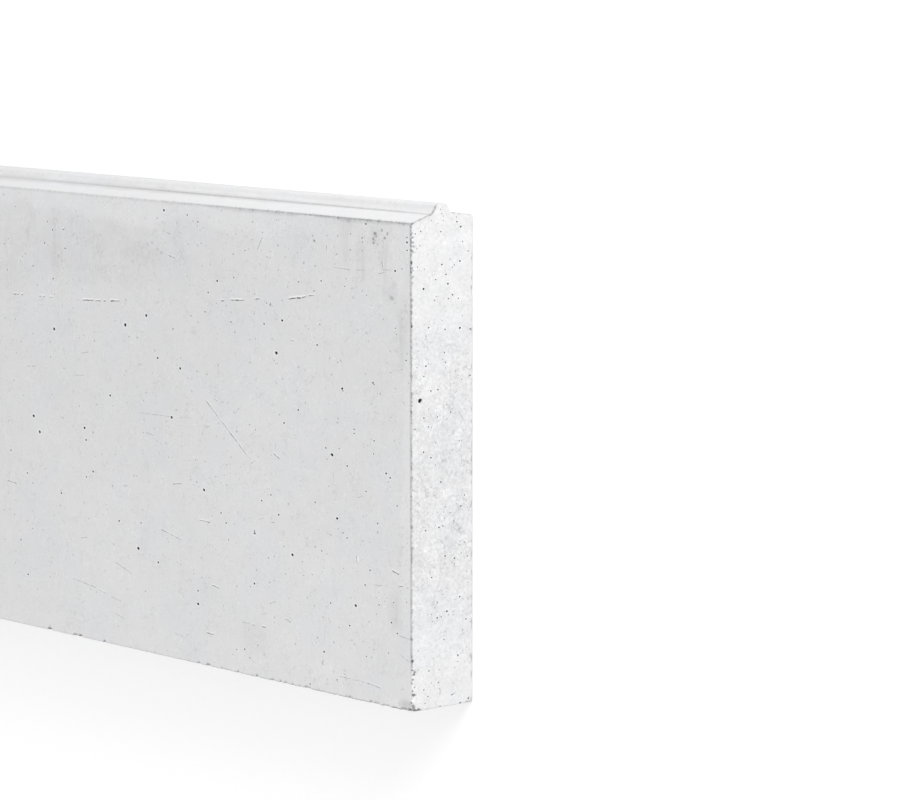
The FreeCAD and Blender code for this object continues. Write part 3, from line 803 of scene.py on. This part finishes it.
class Arris:
    """One edge of the board and its broken places, by distances along and across the unrolled edge."""

    def __init__(self, low, high, half, spacing, fade=None):
        self.half = half
        self.chips = []
        along = low + rng.expovariate(1.0 / spacing)
        while along < high:
            size = rng.random() ** CHIP_SIZE_BIAS
            chip = [small + (large - small) * size * rng.uniform(*CHIP_SIZE_SPREAD)
                    for small, large in (CHIP_HALF_LENGTHS, CHIP_REACHES, CHIP_DEPTHS)]
            left = np.interp(high - along, *fade) if fade else 1.0
            chip[2] *= left
            across = rng.uniform(-CHIP_OFFSET, CHIP_OFFSET)
            self.add_chip(along, across, *chip, rng.uniform(*CHIP_SOILS) * left)
            along += rng.expovariate(1.0 / spacing)

    def add_chip(self, along, across, half_length, reach, depth, soil_and_shade):
        self.chips.append((along, across, half_length, reach, depth, soil_and_shade))

    def wear(self, along, across):
        """Depth broken away and soil at each place."""
        depth = np.zeros(len(along))
        soil_and_shade = np.zeros(len(along))
        for centre, offset, half_length, reach, chip_depth, chip_soil in self.chips:
            near = np.flatnonzero(np.abs(along - centre) < half_length)
            span = ((along[near] - centre) / half_length) ** 2
            span += ((across[near] - offset) / (reach + self.half)) ** 2
            bowl = np.sqrt(np.clip(1.0 - span, 0.0, None))
            depth[near] = np.maximum(depth[near], chip_depth * bowl)
            soil_and_shade[near] = darker_of(soil_and_shade[near], chip_soil * np.minimum(1.0, CHIP_SOIL_RISE * bowl))
        spots = [Vector((a, t, 0.0)) / CRUMBLE_SIZE for a, t in zip(along, across)]
        crumble = np.array([noise.noise(spot) for spot in spots])
        depth += CRUMBLE_DEPTH * np.clip(crumble, 0.0, None) * beside(across, self.half, CRUMBLE_REACH)
        return depth, soil_and_shade


# The whole skin: one unrolled tube round the section, and a cap at each end
ARRISES = ("back_base", "front_base", "front_top", "back_top")
SOFT_EDGES = ("front_root", "tongue_front", "tongue_back", "back_root")
CREASES = {"front_root": 0, "back_root": 1}  # the side of each cove where it meets its shoulder, along which runs a dark line of painted shade with grime
FRONT_ARRISES = ("front_base", "front_top")
ROUNDING_START = END_X - END_RADIUS
TUBE_END = ROUNDING_START + END_RADIUS * math.pi / 2.0
END_HALF = END_RADIUS * math.pi / 4.0
STRAIGHT_END = ROUNDING_START - END_MARGIN


def edge_columns(steps):
    """Places along the board for one row of an edge."""
    turn = END_X - NEAR_STRETCH
    near = np.arange(STRAIGHT_END, turn, -steps[0])
    far = np.linspace(turn, -STRAIGHT_END, round((turn + STRAIGHT_END) / steps[1]))
    return np.concatenate([near, far])


def ring_places(steps):
    """Distances round the section: every knot, and places between them, farther apart on the back."""
    places = []
    for index, (first, last) in enumerate(zip(section.s, section.s[1:])):
        on_back = max(section.z[index:index + 2]) < CDT_TOLERANCE
        count = max(1, round((last - first) / steps[on_back]))
        places.extend(first + (last - first) * k / count for k in range(count))
    return places + [section.length]


def end_distance(u):
    """How far along the unrolled tube a place lies past the start of the rounding at an end."""
    return np.abs(u) - ROUNDING_START


def front_place(pixel):
    """A pixel of the front face as a place on the unrolled tube."""
    x, y = pixel_on_front(pixel)
    return x, section.arcs["front_base"][1] + y - (BASE_Y + ARRIS_RADIUS)


def edge_steps(name):
    if name in FRONT_ARRISES:
        return FRONT_EDGE_STEPS
    return BACK_EDGE_STEPS if name in ARRISES else SOFT_EDGE_STEPS


def add_edge_rows(tube):
    """Rows of points along every rounded edge of the section, and bands beside the creases and arrises."""
    for name in ARRISES + SOFT_EDGES:
        columns = edge_columns(edge_steps(name))
        for s in section.knots_of(name):
            for u in columns:
                tube.add((u, s))
    for name, side in CREASES.items():
        for band in CREASE_BANDS:
            for u in edge_columns(SOFT_EDGE_STEPS):
                tube.add_clear((u, section.arcs[name][side] + band))
    for name in ARRISES:
        first, last = section.arcs[name]
        bands = [(band, edge_steps(name)) for band in EDGE_BANDS] + [(OUTER_BAND, OUTER_BAND_STEPS)]
        for band, steps in bands:
            for u in edge_columns(steps):
                tube.add_clear((u, first - band))
                tube.add_clear((u, last + band))


def add_seam(tube):
    """The same places at both sides of the unrolled tube, where they join on the back."""
    pairs = []
    for u in np.linspace(-STRAIGHT_END, STRAIGHT_END, round(2.0 * STRAIGHT_END / GRID_STEP)):
        pairs.append((tube.add((u, 0.0)), tube.add((u, section.length))))
    return pairs


def add_end_bands(tube, end):
    """Points round the edge of one end. Returns the outermost ring and the seam's pairs."""
    places = ring_places(RING_STEPS[end])
    pairs = []
    for level in END_LEVELS[end]:
        u = end * (ROUNDING_START - level)
        pairs.append((tube.add((u, places[0])), tube.add((u, places[-1]))))
        for s in places[1:-1]:
            tube.add_clear((u, s))
    for angle in END_ANGLES:
        at_rim = angle == END_ANGLES[-1]
        u = end * (TUBE_END if at_rim else ROUNDING_START + END_RADIUS * math.radians(angle))
        row = [tube.add((u, s)) for s in places]
        pairs.append((row[0], row[-1]))
    return row[:-1], pairs


def flats():
    """The unrolled flats as (first, last, zones of air holes), leaving a margin beside the edges."""
    arcs = section.arcs
    spans = [
        (0.0, arcs["back_base"][0], BACK_ZONES),
        (arcs["back_base"][1], arcs["front_base"][0], NARROW_ZONES),
        (arcs["front_base"][1], arcs["front_top"][0], FRONT_ZONES),
        (arcs["front_top"][1], arcs["front_root"][0], NARROW_ZONES),
        (arcs["back_root"][1], arcs["back_top"][0], NARROW_ZONES),
        (arcs["back_top"][1], section.length, BACK_ZONES),
    ]
    return [(first + FLAT_MARGIN, last - FLAT_MARGIN, zones) for first, last, zones in spans]


def mark_front(tube):
    """The holes, soft spots and scored lines that the photograph shows on the front."""
    tube.add_marked_pits(FRONT_PITS, front_place, 0.0)
    for x, y, radius, soil_and_shade in FRONT_BLOTS:
        tube.add_pit(front_place((x, y)), radius, BLOT_RINGS, soil_and_shade, BLOT_DEPTH_SHARE)
    for first, last, half_width, depth in FRONT_LINES:
        # Deeper lines get a painted highlight on the lip above them
        lip_highlights = [(gap, soil_and_shade * max(depth - LIP_HIGHLIGHT_FROM, 0.0)) for gap, soil_and_shade in LIP_HIGHLIGHTS]
        ends = (front_place(first), front_place(last))
        tube.add_line(*ends, half_width, depth, MARKED_LINE_SHADE * depth, lip_highlights)


def mark_flats(tube):
    """Scattered scratches and air holes on the long faces, and the grid between them."""
    limit = ROUNDING_START - FLAT_MARGIN
    grid_limit = STRAIGHT_END - FLAT_MARGIN
    for first, last, zones in flats():
        for nearest, farthest, density, smallest in zones:
            low = (max(END_X - farthest, -limit), first)
            high = (min(END_X - nearest, limit), last)
            is_near = farthest <= NEAR_STRETCH
            tube.scatter_lines(low, high, NEAR_LINE_DENSITY if is_near else FAR_LINE_DENSITY)
            tube.scatter_pits(low, high, density, smallest)
        tube.fill_grid((-grid_limit, first + FLAT_MARGIN), (grid_limit, last - FLAT_MARGIN), GRID_STEP)


def tube_shape(points, depth):
    """Places in the row frame of points on the unrolled tube, sunk by their depth."""
    u, s = points[:, 0], points[:, 1]
    y, z, normal_y, normal_z = section.at(s)
    angle = np.clip(end_distance(u) / END_RADIUS, 0.0, math.pi / 2.0)
    straight = np.clip(np.abs(u), None, ROUNDING_START)
    inset = END_RADIUS * (1.0 - np.cos(angle)) + depth * np.cos(angle)
    x = np.sign(u) * (straight + END_RADIUS * np.sin(angle) - depth * np.sin(angle))
    return np.column_stack([x, y - normal_y * inset, z - normal_z * inset])


def nearest_on_ring(place):
    """Distance round the section of the outline's point nearest to a place on an end face."""
    s = np.linspace(0.0, section.length, round(section.length * RING_SAMPLES))
    y, z, _, _ = section.at(s)
    return s[np.argmin((y - place[0]) ** 2 + (z - place[1]) ** 2)]


def make_arrises():
    """The long arrises by name, and the edges of the ends by their sign, with the broken places of each."""
    arrises = {}
    for name in ARRISES:
        half = section.middle_and_half(name)[1]
        spacing = CHIP_SPACING["near" if name in FRONT_ARRISES else "plain"]
        arrises[name] = Arris(-ROUNDING_START, ROUNDING_START, half, spacing, CHIP_FADE)
    for x, y, *chip in BOTTOM_EDGE_CHIPS:
        arrises["front_base"].add_chip(front_place((x, y))[0], 0.0, *chip)
    ends = {NEAR_END: Arris(0.0, section.length, END_HALF, CHIP_SPACING["near"]),
            FAR_END: Arris(0.0, section.length, END_HALF, CHIP_SPACING["plain"])}
    near = ends[NEAR_END]
    tongue = (section.arcs["front_top"][0], section.arcs["back_root"][1])
    near.chips = [chip for chip in near.chips if not tongue[0] < chip[0] < tongue[1]]
    for x, y, *chip in END_EDGE_CHIPS:
        place = pixel_on_end((x, y))
        across = max(section.depth_inside(*place) - END_RADIUS, CHIP_FARTHEST) + END_HALF
        near.add_chip(nearest_on_ring(place), across, *chip)
    return arrises, ends


def end_line_strength(s):
    """How dark the line round an end is, by distance round the section."""
    arcs = section.arcs
    base = arcs["front_base"][1]
    knots = [
        (arcs["back_base"][1], END_LINE_BACK), (arcs["front_base"][0], END_LINE_BACK),
        (base + END_LINE_START[0], 0.0), (base + END_LINE_START[1], END_LINE_FRONT),
        (arcs["front_top"][0], END_LINE_FRONT), (arcs["front_top"][1], END_LINE_TONGUE),
        (arcs["tongue_front"][0], END_LINE_TONGUE), (arcs["tongue_front"][1], END_LINE_BACK),
    ]
    return np.interp(s, *zip(*knots))


def wear_tube(points, depth, soil_and_shade, arrises, ends):
    """Adds the broken edges to the depth and soil of the tube's points. Returns the edges' dark lines, which
    in the coves are painted shade with grime.
    """
    u, s = points[:, 0], points[:, 1]
    line = np.zeros(len(points))

    def wear_edge(near, along, across, arris, from_line, width, strength):
        line[near] = np.maximum(line[near], strength * beside(from_line, *width))
        if arris:
            broken, marked = arris.wear(along, across)
            depth[near] = np.maximum(depth[near], broken)
            soil_and_shade[near] = darker_of(soil_and_shade[near], marked)

    for name in ARRISES + SOFT_EDGES:
        middle, half = section.middle_and_half(name)
        near = np.flatnonzero(np.abs(s - middle) < half + OUTER_BAND)
        fade = EDGE_LINE_FADES.get(name, EDGE_LINE_FADE)
        strength = EDGE_LINES.get(name, 0.0) * np.interp(END_X - u[near], *fade)
        width = EDGE_LINE_WIDTH
        # A cove's dark line is painted shade with grime, drawn along its crease
        if name in CREASES:
            middle = section.arcs[name][CREASES[name]]
            width = CREASE_SHADE_WIDTH
        across = s[near] - middle
        wear_edge(near, u[near], across, arrises.get(name), across, width, strength)
    for end, arris in ends.items():
        near = np.flatnonzero(end * u > STRAIGHT_END)
        along = s[near]
        across = end_distance(u[near]) - END_HALF
        shift = np.interp(along, section.arcs["front_top"], END_LINE_SHIFTS)
        wear_edge(near, along, across, arris, across - shift, END_LINE_WIDTH, end_line_strength(along))
    return line


def cap_surface(end, ring_points, ring_s, arris):
    """One end face in its own plane: its rim, the bands inside it, air holes and a grid."""
    cap = Surface()
    outline = [cap.add(tuple(point)) for point in ring_points]
    margin = END_RADIUS + CAP_MARGIN

    def has_room(place, radius):
        return section.depth_inside(*place) > margin + radius

    if end == NEAR_END:
        cap.add_marked_pits(END_PITS, pixel_on_end, math.pi / 2.0)
        for first, last, half_width, depth in END_LINES:
            cap.add_line(pixel_on_end(first), pixel_on_end(last), half_width, depth, MARKED_LINE_SHADE * depth)
    low = (BASE_Y, 0.0)
    high = (BASE_Y + OVERALL_HEIGHT, THICKNESS)
    cap.scatter_pits(low, high, END_PIT_DENSITY[end], END_PIT_SMALLEST[end], has_room)
    cap.fill_grid(low, high, END_GRID_STEP, has_room)
    y, z, normal_y, normal_z = section.at(ring_s)
    for inset in CAP_INSETS[end]:
        across = np.full(len(ring_s), END_HALF + inset)
        is_broken = inset < CAP_INSETS[end][-1]
        depth, soil_and_shade = arris.wear(ring_s, across)
        inner_y = y - normal_y * (END_RADIUS + inset)
        inner_z = z - normal_z * (END_RADIUS + inset)
        for place in zip(inner_y, inner_z, depth * is_broken, soil_and_shade * is_broken):
            if section.depth_inside(*place[:2]) > CAP_INSET_SHARE * (END_RADIUS + inset):
                cap.add_clear(place[:2], *place[2:])
    return cap, outline


def cap_part(end, rim, start, tube_points, tube_places, arris):
    """One end as arrays. Its rim is made of the tube's points, and its own are numbered from the start."""
    cap, outline = cap_surface(end, tube_places[rim][:, 1:], tube_points[rim, 1], arris)
    points, triangles, depth, soil_and_shade, origins = cap.triangulate(outline[::-1])
    target = np.arange(len(points)) + start
    for made, origin in enumerate(origins):
        if origin is not None and origin < len(rim):
            target[made] = rim[origin]
    faces = target[triangles] if end == NEAR_END else target[triangles][:, ::-1]
    places = np.column_stack([end * (END_X - depth), points])
    return places, faces, np.zeros(len(faces), dtype=bool), soil_and_shade, np.zeros(len(points))


def board_mesh():
    """The skin of the board as arrays: places, triangles, which of these are smooth, soil with painted shade
    and highlights, and dark lines.
    """
    tube = Surface()
    mark_front(tube)
    mark_flats(tube)
    add_edge_rows(tube)
    pairs = add_seam(tube)
    rings = {}
    for end in (NEAR_END, FAR_END):
        rings[end], end_pairs = add_end_bands(tube, end)
        pairs.extend(end_pairs)
    arrises, ends = make_arrises()
    points, triangles, depth, soil_and_shade, origins = tube.triangulate()
    index_of = {i: made for made, i in enumerate(origins) if i is not None}
    line = wear_tube(points, depth, soil_and_shade, arrises, ends)
    joined = np.arange(len(points))
    for first, last in pairs:
        joined[index_of[last]] = index_of[first]
        depth[index_of[last]] = depth[index_of[first]]
    rounded = section.on_arc(points[:, 1]) | (end_distance(points[:, 0]) > -CDT_TOLERANCE)
    places = tube_shape(points, depth)
    parts = [(places, joined[triangles], rounded[triangles].any(axis=1), soil_and_shade, line)]
    for end, arris in ends.items():
        rim = [index_of[i] for i in rings[end]]
        start = sum(len(part[0]) for part in parts)
        parts.append(cap_part(end, rim, start, points, places, arris))
    return [np.concatenate(arrays) for arrays in zip(*parts)]


def add_object(name, data):
    made = bpy.data.objects.new(name, data)
    bpy.context.scene.collection.objects.link(made)
    return made


def make_board(material):
    places, triangles, smooth, soil_and_shade, line = board_mesh()
    used = np.unique(triangles)
    order = np.full(len(places), -1)
    order[used] = np.arange(len(used))
    mesh = bpy.data.meshes.new("board_skin")
    mesh.from_pydata((places[used] * MM).tolist(), [], order[triangles].tolist())
    # The soil attribute also holds painted shade in holes and lines and painted highlights on their rims; the
    # edge line attribute also holds painted shade with grime in the coves
    for name, values in (("soil_and_shade", soil_and_shade), ("edge_line", line)):
        mesh.attributes.new(name, "FLOAT", "POINT").data.foreach_set("value", values[used])
    mesh.set_sharp_from_angle(angle=SHARP_ANGLE)
    mesh.polygons.foreach_set("use_smooth", smooth)
    mesh.materials.append(material)
    board = add_object("board_skin", mesh)
    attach(board, "root")
    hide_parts(NODE)
    print("board triangles", len(mesh.polygons), "points", len(mesh.vertices))


# Materials
class Shader:
    """A material's node tree, with short calls for the nodes that the materials use."""

    def __init__(self, name):
        self.material = bpy.data.materials.new(name)
        self.material.use_nodes = True
        self.tree = self.material.node_tree
        self.tree.nodes.clear()
        coords = self.node("ShaderNodeTexCoord")
        self.place = coords.outputs["Object"]
        self.normal = coords.outputs["Normal"]

    def node(self, kind, links=None, **values):
        made = self.tree.nodes.new(kind)
        for name, value in values.items():
            setattr(made, name, value)
        for socket, source in (links or {}).items():
            self.set(made.inputs[socket], source)
        return made

    def set(self, socket, source):
        if isinstance(source, bpy.types.NodeSocket):
            self.tree.links.new(source, socket)
        else:
            socket.default_value = source

    def attribute(self, name):
        return self.node("ShaderNodeAttribute", attribute_name=name).outputs["Fac"]

    def part(self, vector, axis):
        return self.node("ShaderNodeSeparateXYZ", {0: vector}).outputs[axis]

    def noise_node(self, size_mm, detail, roughness, vector=None):
        """Noise with features of about that size."""
        return self.node("ShaderNodeTexNoise", {
            "Vector": vector or self.place, "Scale": 1.0 / (size_mm * MM),
            "Detail": detail, "Roughness": roughness})

    def noise(self, *values):
        return self.noise_node(*values).outputs["Fac"]

    def map(self, value, low, high, to_low, to_high, smooth=False):
        made = self.node("ShaderNodeMapRange", {
            "Value": value, "From Min": low, "From Max": high, "To Min": to_low, "To Max": to_high})
        made.interpolation_type = "SMOOTHSTEP" if smooth else "LINEAR"
        return made.outputs["Result"]

    def varied(self, pattern, span, limits, stretch=None):
        """One of the patterns of the concrete, drawn out along the axes where it has a stretch."""
        vector = self.place
        if stretch:
            vector = self.node("ShaderNodeMapping", {"Vector": self.place, "Scale": stretch}).outputs[0]
        return self.map(self.noise(*pattern, vector), *span, *limits)

    def along(self, axis, places, values, smooth=False):
        """A value that changes between two places on an axis, in millimetres."""
        return self.map(self.part(self.place, axis), *[place * MM for place in places], *values, smooth)

    def math(self, operation, first, second=0.0):
        return self.node("ShaderNodeMath", {0: first, 1: second}, operation=operation).outputs[0]

    def chain(self, operation, values):
        result = values[0]
        for value in values[1:]:
            result = self.math(operation, result, value)
        return result

    def times(self, *values):
        return self.chain("MULTIPLY", values)

    def plus(self, *values):
        return self.chain("ADD", values)

    def vector(self, operation, links):
        return self.node("ShaderNodeVectorMath", links, operation=operation)

    def oval_distance(self, place, middle, halves):
        """Distance from an oval's middle in shares of its half sizes; an axis without one doesn't count."""
        scale = [1.0 / (half * MM) if half else 0.0 for half in halves]
        offset = [-centre / half if half else 0.0 for centre, half in zip(middle, halves)]
        scaled = self.vector("MULTIPLY_ADD", {0: place, 1: scale, 2: offset}).outputs["Vector"]
        return self.vector("LENGTH", {0: scaled}).outputs["Value"]


def stains(shader, warped, boxes):
    """Sum of soft oval stains on the front, each fading out at the sides of its pixel box."""
    parts = []
    for x0, y0, x1, y1, tone in boxes:
        x, y = (x0 + x1) / 2.0, (y0 + y1) / 2.0
        middle = pixel_on_front((x, y))
        half_x = (pixel_on_front((x1, y))[0] - pixel_on_front((x0, y))[0]) / 2.0
        half_y = (pixel_on_front((x, y0))[1] - pixel_on_front((x, y1))[1]) / 2.0
        distance = shader.oval_distance(warped, (*middle, 0.0), (half_x, half_y, 0.0))
        parts.append(shader.map(distance, *STAIN_EDGE, tone, 0.0, True))
    return shader.plus(*parts)


def hair_lines(shader, hairs):
    """Thin winding hair lines in patches, where noise passes through its middle value."""
    parts = []
    for size, half_width, tone in hairs:
        ridge = shader.math("ABSOLUTE", shader.plus(shader.noise(size, *HAIR_NOISE), -NOISE_MIDDLE))
        line = shader.map(ridge, HAIR_CORE * half_width, half_width, tone, 0.0, True)
        patch_noise = shader.noise(HAIR_PATCH_SIZE * size, *HAIR_NOISE)
        parts.append(shader.times(line, shader.map(patch_noise, *HAIR_PATCH_SPAN, 0.0, 1.0)))
    return shader.plus(*parts)


def root_shade(shader, uneven):
    """Painted shade, with grime, in the corner between the front shoulder and the tongue."""
    slope = FRONT_SHOULDER_RISE / (THICKNESS - FRONT_ROOT_Z)
    middle_y = FRONT_TOP_Y + FRONT_SHOULDER_RISE - ROOT_SHADE_FORWARD * slope
    middle = (0.0, middle_y, FRONT_ROOT_Z + ROOT_SHADE_FORWARD)
    distance = shader.oval_distance(shader.place, middle, (0.0, *ROOT_SHADE_HALVES))
    wider = shader.along("X", [END_X - gap for gap in ROOT_SHADE_SPAN], ROOT_SHADE_WIDTHS)
    share = shader.math("DIVIDE", distance, shader.times(uneven, wider))
    return shader.map(share, *ROOT_SHADE_EDGE, ROOT_SHADE, 0.0, True)


def top_shade(shader, uneven):
    """Darker band below the front top arris, by the number of millimetres below it."""
    below = shader.along("Y", (FRONT_TOP_Y, FRONT_TOP_Y - 1.0), (0.0, 1.0))
    below.node.clamp = False
    shade = shader.map(shader.math("DIVIDE", below, uneven), *TOP_SHADE_REACH, TOP_SHADE, 0.0, True)
    under_arris = shader.map(below, -1.0, 0.0, 0.0, 1.0)
    facing = shader.map(shader.part(shader.normal, "Z"), *TOP_SHADE_FACING, 0.0, 1.0)
    stronger = shader.along("X", [END_X - gap for gap in TOP_SHADE_SPAN], (TOP_SHADE_FAR, 1.0))
    return shader.times(shade, under_arris, facing, stronger)


def edge_tone(shader):
    """Tone left by the painted shade and grime in the corner below the tongue, and by the darker band below
    the front top arris.
    """
    uneven = shader.varied(*SHADE_UNEVENNESS)
    return shader.plus(1.0, root_shade(shader, uneven), top_shade(shader, uneven))


def warped_place(shader):
    """The place shifted to and fro by noise, which makes the sides of stains uneven."""
    wobble = shader.noise_node(*WARP_PATTERN).outputs["Color"]
    shift = shader.vector("MULTIPLY_ADD", {
        0: wobble, 1: (WARP_RANGE * MM,) * 3, 2: (-WARP_RANGE * MM / 2.0,) * 3})
    return shader.vector("ADD", {0: shader.place, 1: shift.outputs["Vector"]}).outputs["Vector"]


def top_strip(shader):
    """Pale strip below the top of the front, with a wavy lower edge."""
    rise = shader.plus(shader.part(shader.place, "Y"), shader.varied(*TOP_STRIP_WAVE))
    edge = [(FRONT_TOP_Y - TOP_STRIP_DEPTH + gap) * MM for gap in TOP_STRIP_EDGE]
    strip = shader.map(rise, *edge, 0.0, TOP_STRIP_TONE, True)
    fade = [pixel_on_front(pixel)[0] for pixel in TOP_STRIP_END_PX]
    return shader.times(strip, shader.along("X", fade, (1.0, TOP_STRIP_LEFT), True))


def near_strip(shader, warped):
    """Pale strip on the front beside the near end."""
    edge = [(END_X - NEAR_STRIP_WIDTH + gap) * MM for gap in NEAR_STRIP_EDGE]
    strip = shader.map(shader.part(warped, "X"), *edge, 0.0, NEAR_STRIP_TONE, True)
    fade_in, fade_out = NEAR_STRIP_ENDS
    return shader.times(strip, shader.along("Y", fade_in, (0.0, 1.0), True),
                        shader.along("Y", fade_out, (1.0, 0.0), True))


def front_tone(shader):
    """Tone of the front: clouds and runs that the photograph shows, pale strips, brushed grain and specks."""
    warped = warped_place(shader)
    clouds = shader.times(stains(shader, warped, FRONT_CLOUDS), shader.varied(*PATCHINESS))
    runs = shader.times(stains(shader, warped, FRONT_STREAKS), shader.varied(*RUNS, RUN_STRETCH))
    strips = shader.plus(top_strip(shader), near_strip(shader, warped))
    brushed = shader.varied(*BRUSHED, BRUSH_STRETCH)
    specks = shader.plus(shader.varied(*DARK_SPECKS), shader.varied(*PALE_SPECKS))
    fall = shader.along("Y", *FRONT_FALL)
    tone = shader.plus(clouds, runs, strips, brushed, specks, hair_lines(shader, FRONT_HAIRS), fall)
    facing = shader.map(shader.part(shader.normal, "Z"), *FRONT_FACING, 0.0, 1.0)
    return shader.plus(1.0, shader.times(tone, facing))


def end_tone(shader):
    """Tone of the ends: coarse granular mottling, strongest in the middle, paler at the top and bottom."""
    up = shader.part(shader.place, "Y")
    away = shader.math("ABSOLUTE", shader.plus(up, -END_GRAIN_MIDDLE * MM))
    distances, shares = END_GRAIN_FADE
    strength = shader.map(away, *[distance * MM for distance in distances], *shares, True)
    grains = shader.plus(shader.varied(*END_GRAINS), shader.varied(*END_MOTTLE),
                         hair_lines(shader, END_HAIRS))
    pale = shader.plus(END_PALENESS, shader.along("Y", *END_PALE_TOP, True),
                       shader.along("Y", *END_PALE_BASE, True))
    facing = shader.math("ABSOLUTE", shader.part(shader.normal, "X"))
    facing = shader.map(facing, *END_FACING, 0.0, 1.0)
    return shader.plus(1.0, shader.times(shader.plus(shader.times(grains, strength), pale), facing))


def dark_tone(shader):
    """Tone left by painted shade in holes and lines, painted highlights round some of their rims and lips,
    soil in broken places and stains, and the dotted dark lines along the edges.
    """
    soil_and_shade_tone = shader.map(shader.attribute("soil_and_shade"), -1.0, 1.0, *SOIL_AND_SHADE_TONES)
    dotted = shader.times(shader.attribute("edge_line"), shader.varied(*EDGE_DOTS))
    return shader.times(soil_and_shade_tone, shader.math("SUBTRACT", 1.0, dotted))


def concrete_material():
    """Pale cast concrete: its tone is the product of fine variations and of what each face shows."""
    shader = Shader("cast_concrete")
    variations = [shader.varied(*pattern) for pattern in (CLOUD, MOTTLE, GRAIN)]
    tones = (front_tone(shader), end_tone(shader), edge_tone(shader), dark_tone(shader))
    tone = shader.times(*variations, *tones)
    sockets = {MIX_SHARE: shader.varied(*TINT), MIX_FIRST: CONCRETE_COLOUR, MIX_SECOND: BLUER_COLOUR}
    tint = shader.node("ShaderNodeMix", sockets, data_type="RGBA").outputs[MIX_RESULT]
    height = shader.plus(*[shader.noise(*pattern) for pattern in BUMP_PATTERNS])
    bump = shader.node("ShaderNodeBump", {
        "Strength": BUMP_STRENGTH, "Distance": BUMP_DISTANCE, "Height": height})
    surface = shader.node("ShaderNodeBsdfPrincipled", {
        "Base Color": shader.vector("SCALE", {0: tint, "Scale": tone}).outputs["Vector"],
        "Roughness": shader.varied(*ROUGHNESS),
        "Normal": bump.outputs["Normal"],
        "Specular IOR Level": CONCRETE_SPECULAR})
    shader.node("ShaderNodeOutputMaterial", {"Surface": surface.outputs["BSDF"]})
    return shader.material


def floor_material():
    """Pale matt floor that shows white to the camera and still takes the board's shadow."""
    shader = Shader("studio_floor")
    path = shader.node("ShaderNodeLightPath").outputs
    rays = ("Is Camera Ray", "Is Glossy Ray", "Is Transmission Ray")
    seen = shader.chain("MAXIMUM", [path[ray] for ray in rays])
    matt = shader.node("ShaderNodeBsdfDiffuse", {"Color": FLOOR_COLOUR})
    lift = shader.node("ShaderNodeEmission", {"Strength": shader.times(seen, FLOOR_LIFT)})
    both = shader.node("ShaderNodeAddShader", {0: matt.outputs[0], 1: lift.outputs[0]})
    shader.node("ShaderNodeOutputMaterial", {"Surface": both.outputs[0]})
    return shader.material


# Studio
def make_floor():
    half = FLOOR_SIZE / 2.0
    corners = [(-half, -half, 0.0), (half, -half, 0.0), (half, half, 0.0), (-half, half, 0.0)]
    mesh = bpy.data.meshes.new("studio_floor")
    mesh.from_pydata(corners, [], [(0, 1, 2, 3)])
    mesh.materials.append(floor_material())
    floor = add_object("studio_floor", mesh)


def make_world():
    """Even sky for the light, and white where the camera sees past the floor."""
    world = bpy.data.worlds.new("studio_world")
    bpy.context.scene.world = world
    world.use_nodes = True
    tree = world.node_tree
    tree.nodes.clear()
    path = tree.nodes.new("ShaderNodeLightPath")
    sky = tree.nodes.new("ShaderNodeBackground")
    sky.inputs["Color"].default_value = WHITE
    sky.inputs["Strength"].default_value = SKY_STRENGTH
    backdrop = tree.nodes.new("ShaderNodeBackground")
    backdrop.inputs["Color"].default_value = WHITE
    mix = tree.nodes.new("ShaderNodeMixShader")
    output = tree.nodes.new("ShaderNodeOutputWorld")
    tree.links.new(path.outputs["Is Camera Ray"], mix.inputs[0])
    tree.links.new(sky.outputs[0], mix.inputs[1])
    tree.links.new(backdrop.outputs[0], mix.inputs[2])
    tree.links.new(mix.outputs[0], output.inputs["Surface"])


def make_lamp():
    """A square soft lamp whose light reaches the board at about its level."""
    lamp = bpy.data.lights.new("key", "AREA")
    lamp.size = LAMP_SIZE
    lamp.energy = LAMP_LEVEL * math.pi ** 2 * LAMP_DISTANCE ** 2
    made = add_object("key", lamp)
    away = Vector(LAMP_DIRECTION).normalized()
    made.location = Vector(LIT_PLACE) + away * LAMP_DISTANCE
    made.rotation_euler = away.to_track_quat("Z", "Y").to_euler()


def make_camera():
    right, down, forward = view_axes()
    camera = bpy.data.cameras.new("photo_camera")
    camera.sensor_fit = "HORIZONTAL"
    camera.sensor_width = SENSOR_WIDTH
    camera.lens = FOCAL_PX / IMAGE_WIDTH * SENSOR_WIDTH
    camera.clip_end = CAMERA_REACH
    made = add_object("photo_camera", camera)
    turn = Matrix((right, -down, -forward)).transposed().to_4x4()
    made.matrix_world = Matrix.Translation(camera_place() * MM) @ turn
    bpy.context.scene.camera = made


make_camera()
make_world()
make_floor()
make_lamp()
make_board(concrete_material())
bpy.context.scene.view_settings.view_transform = "Standard"
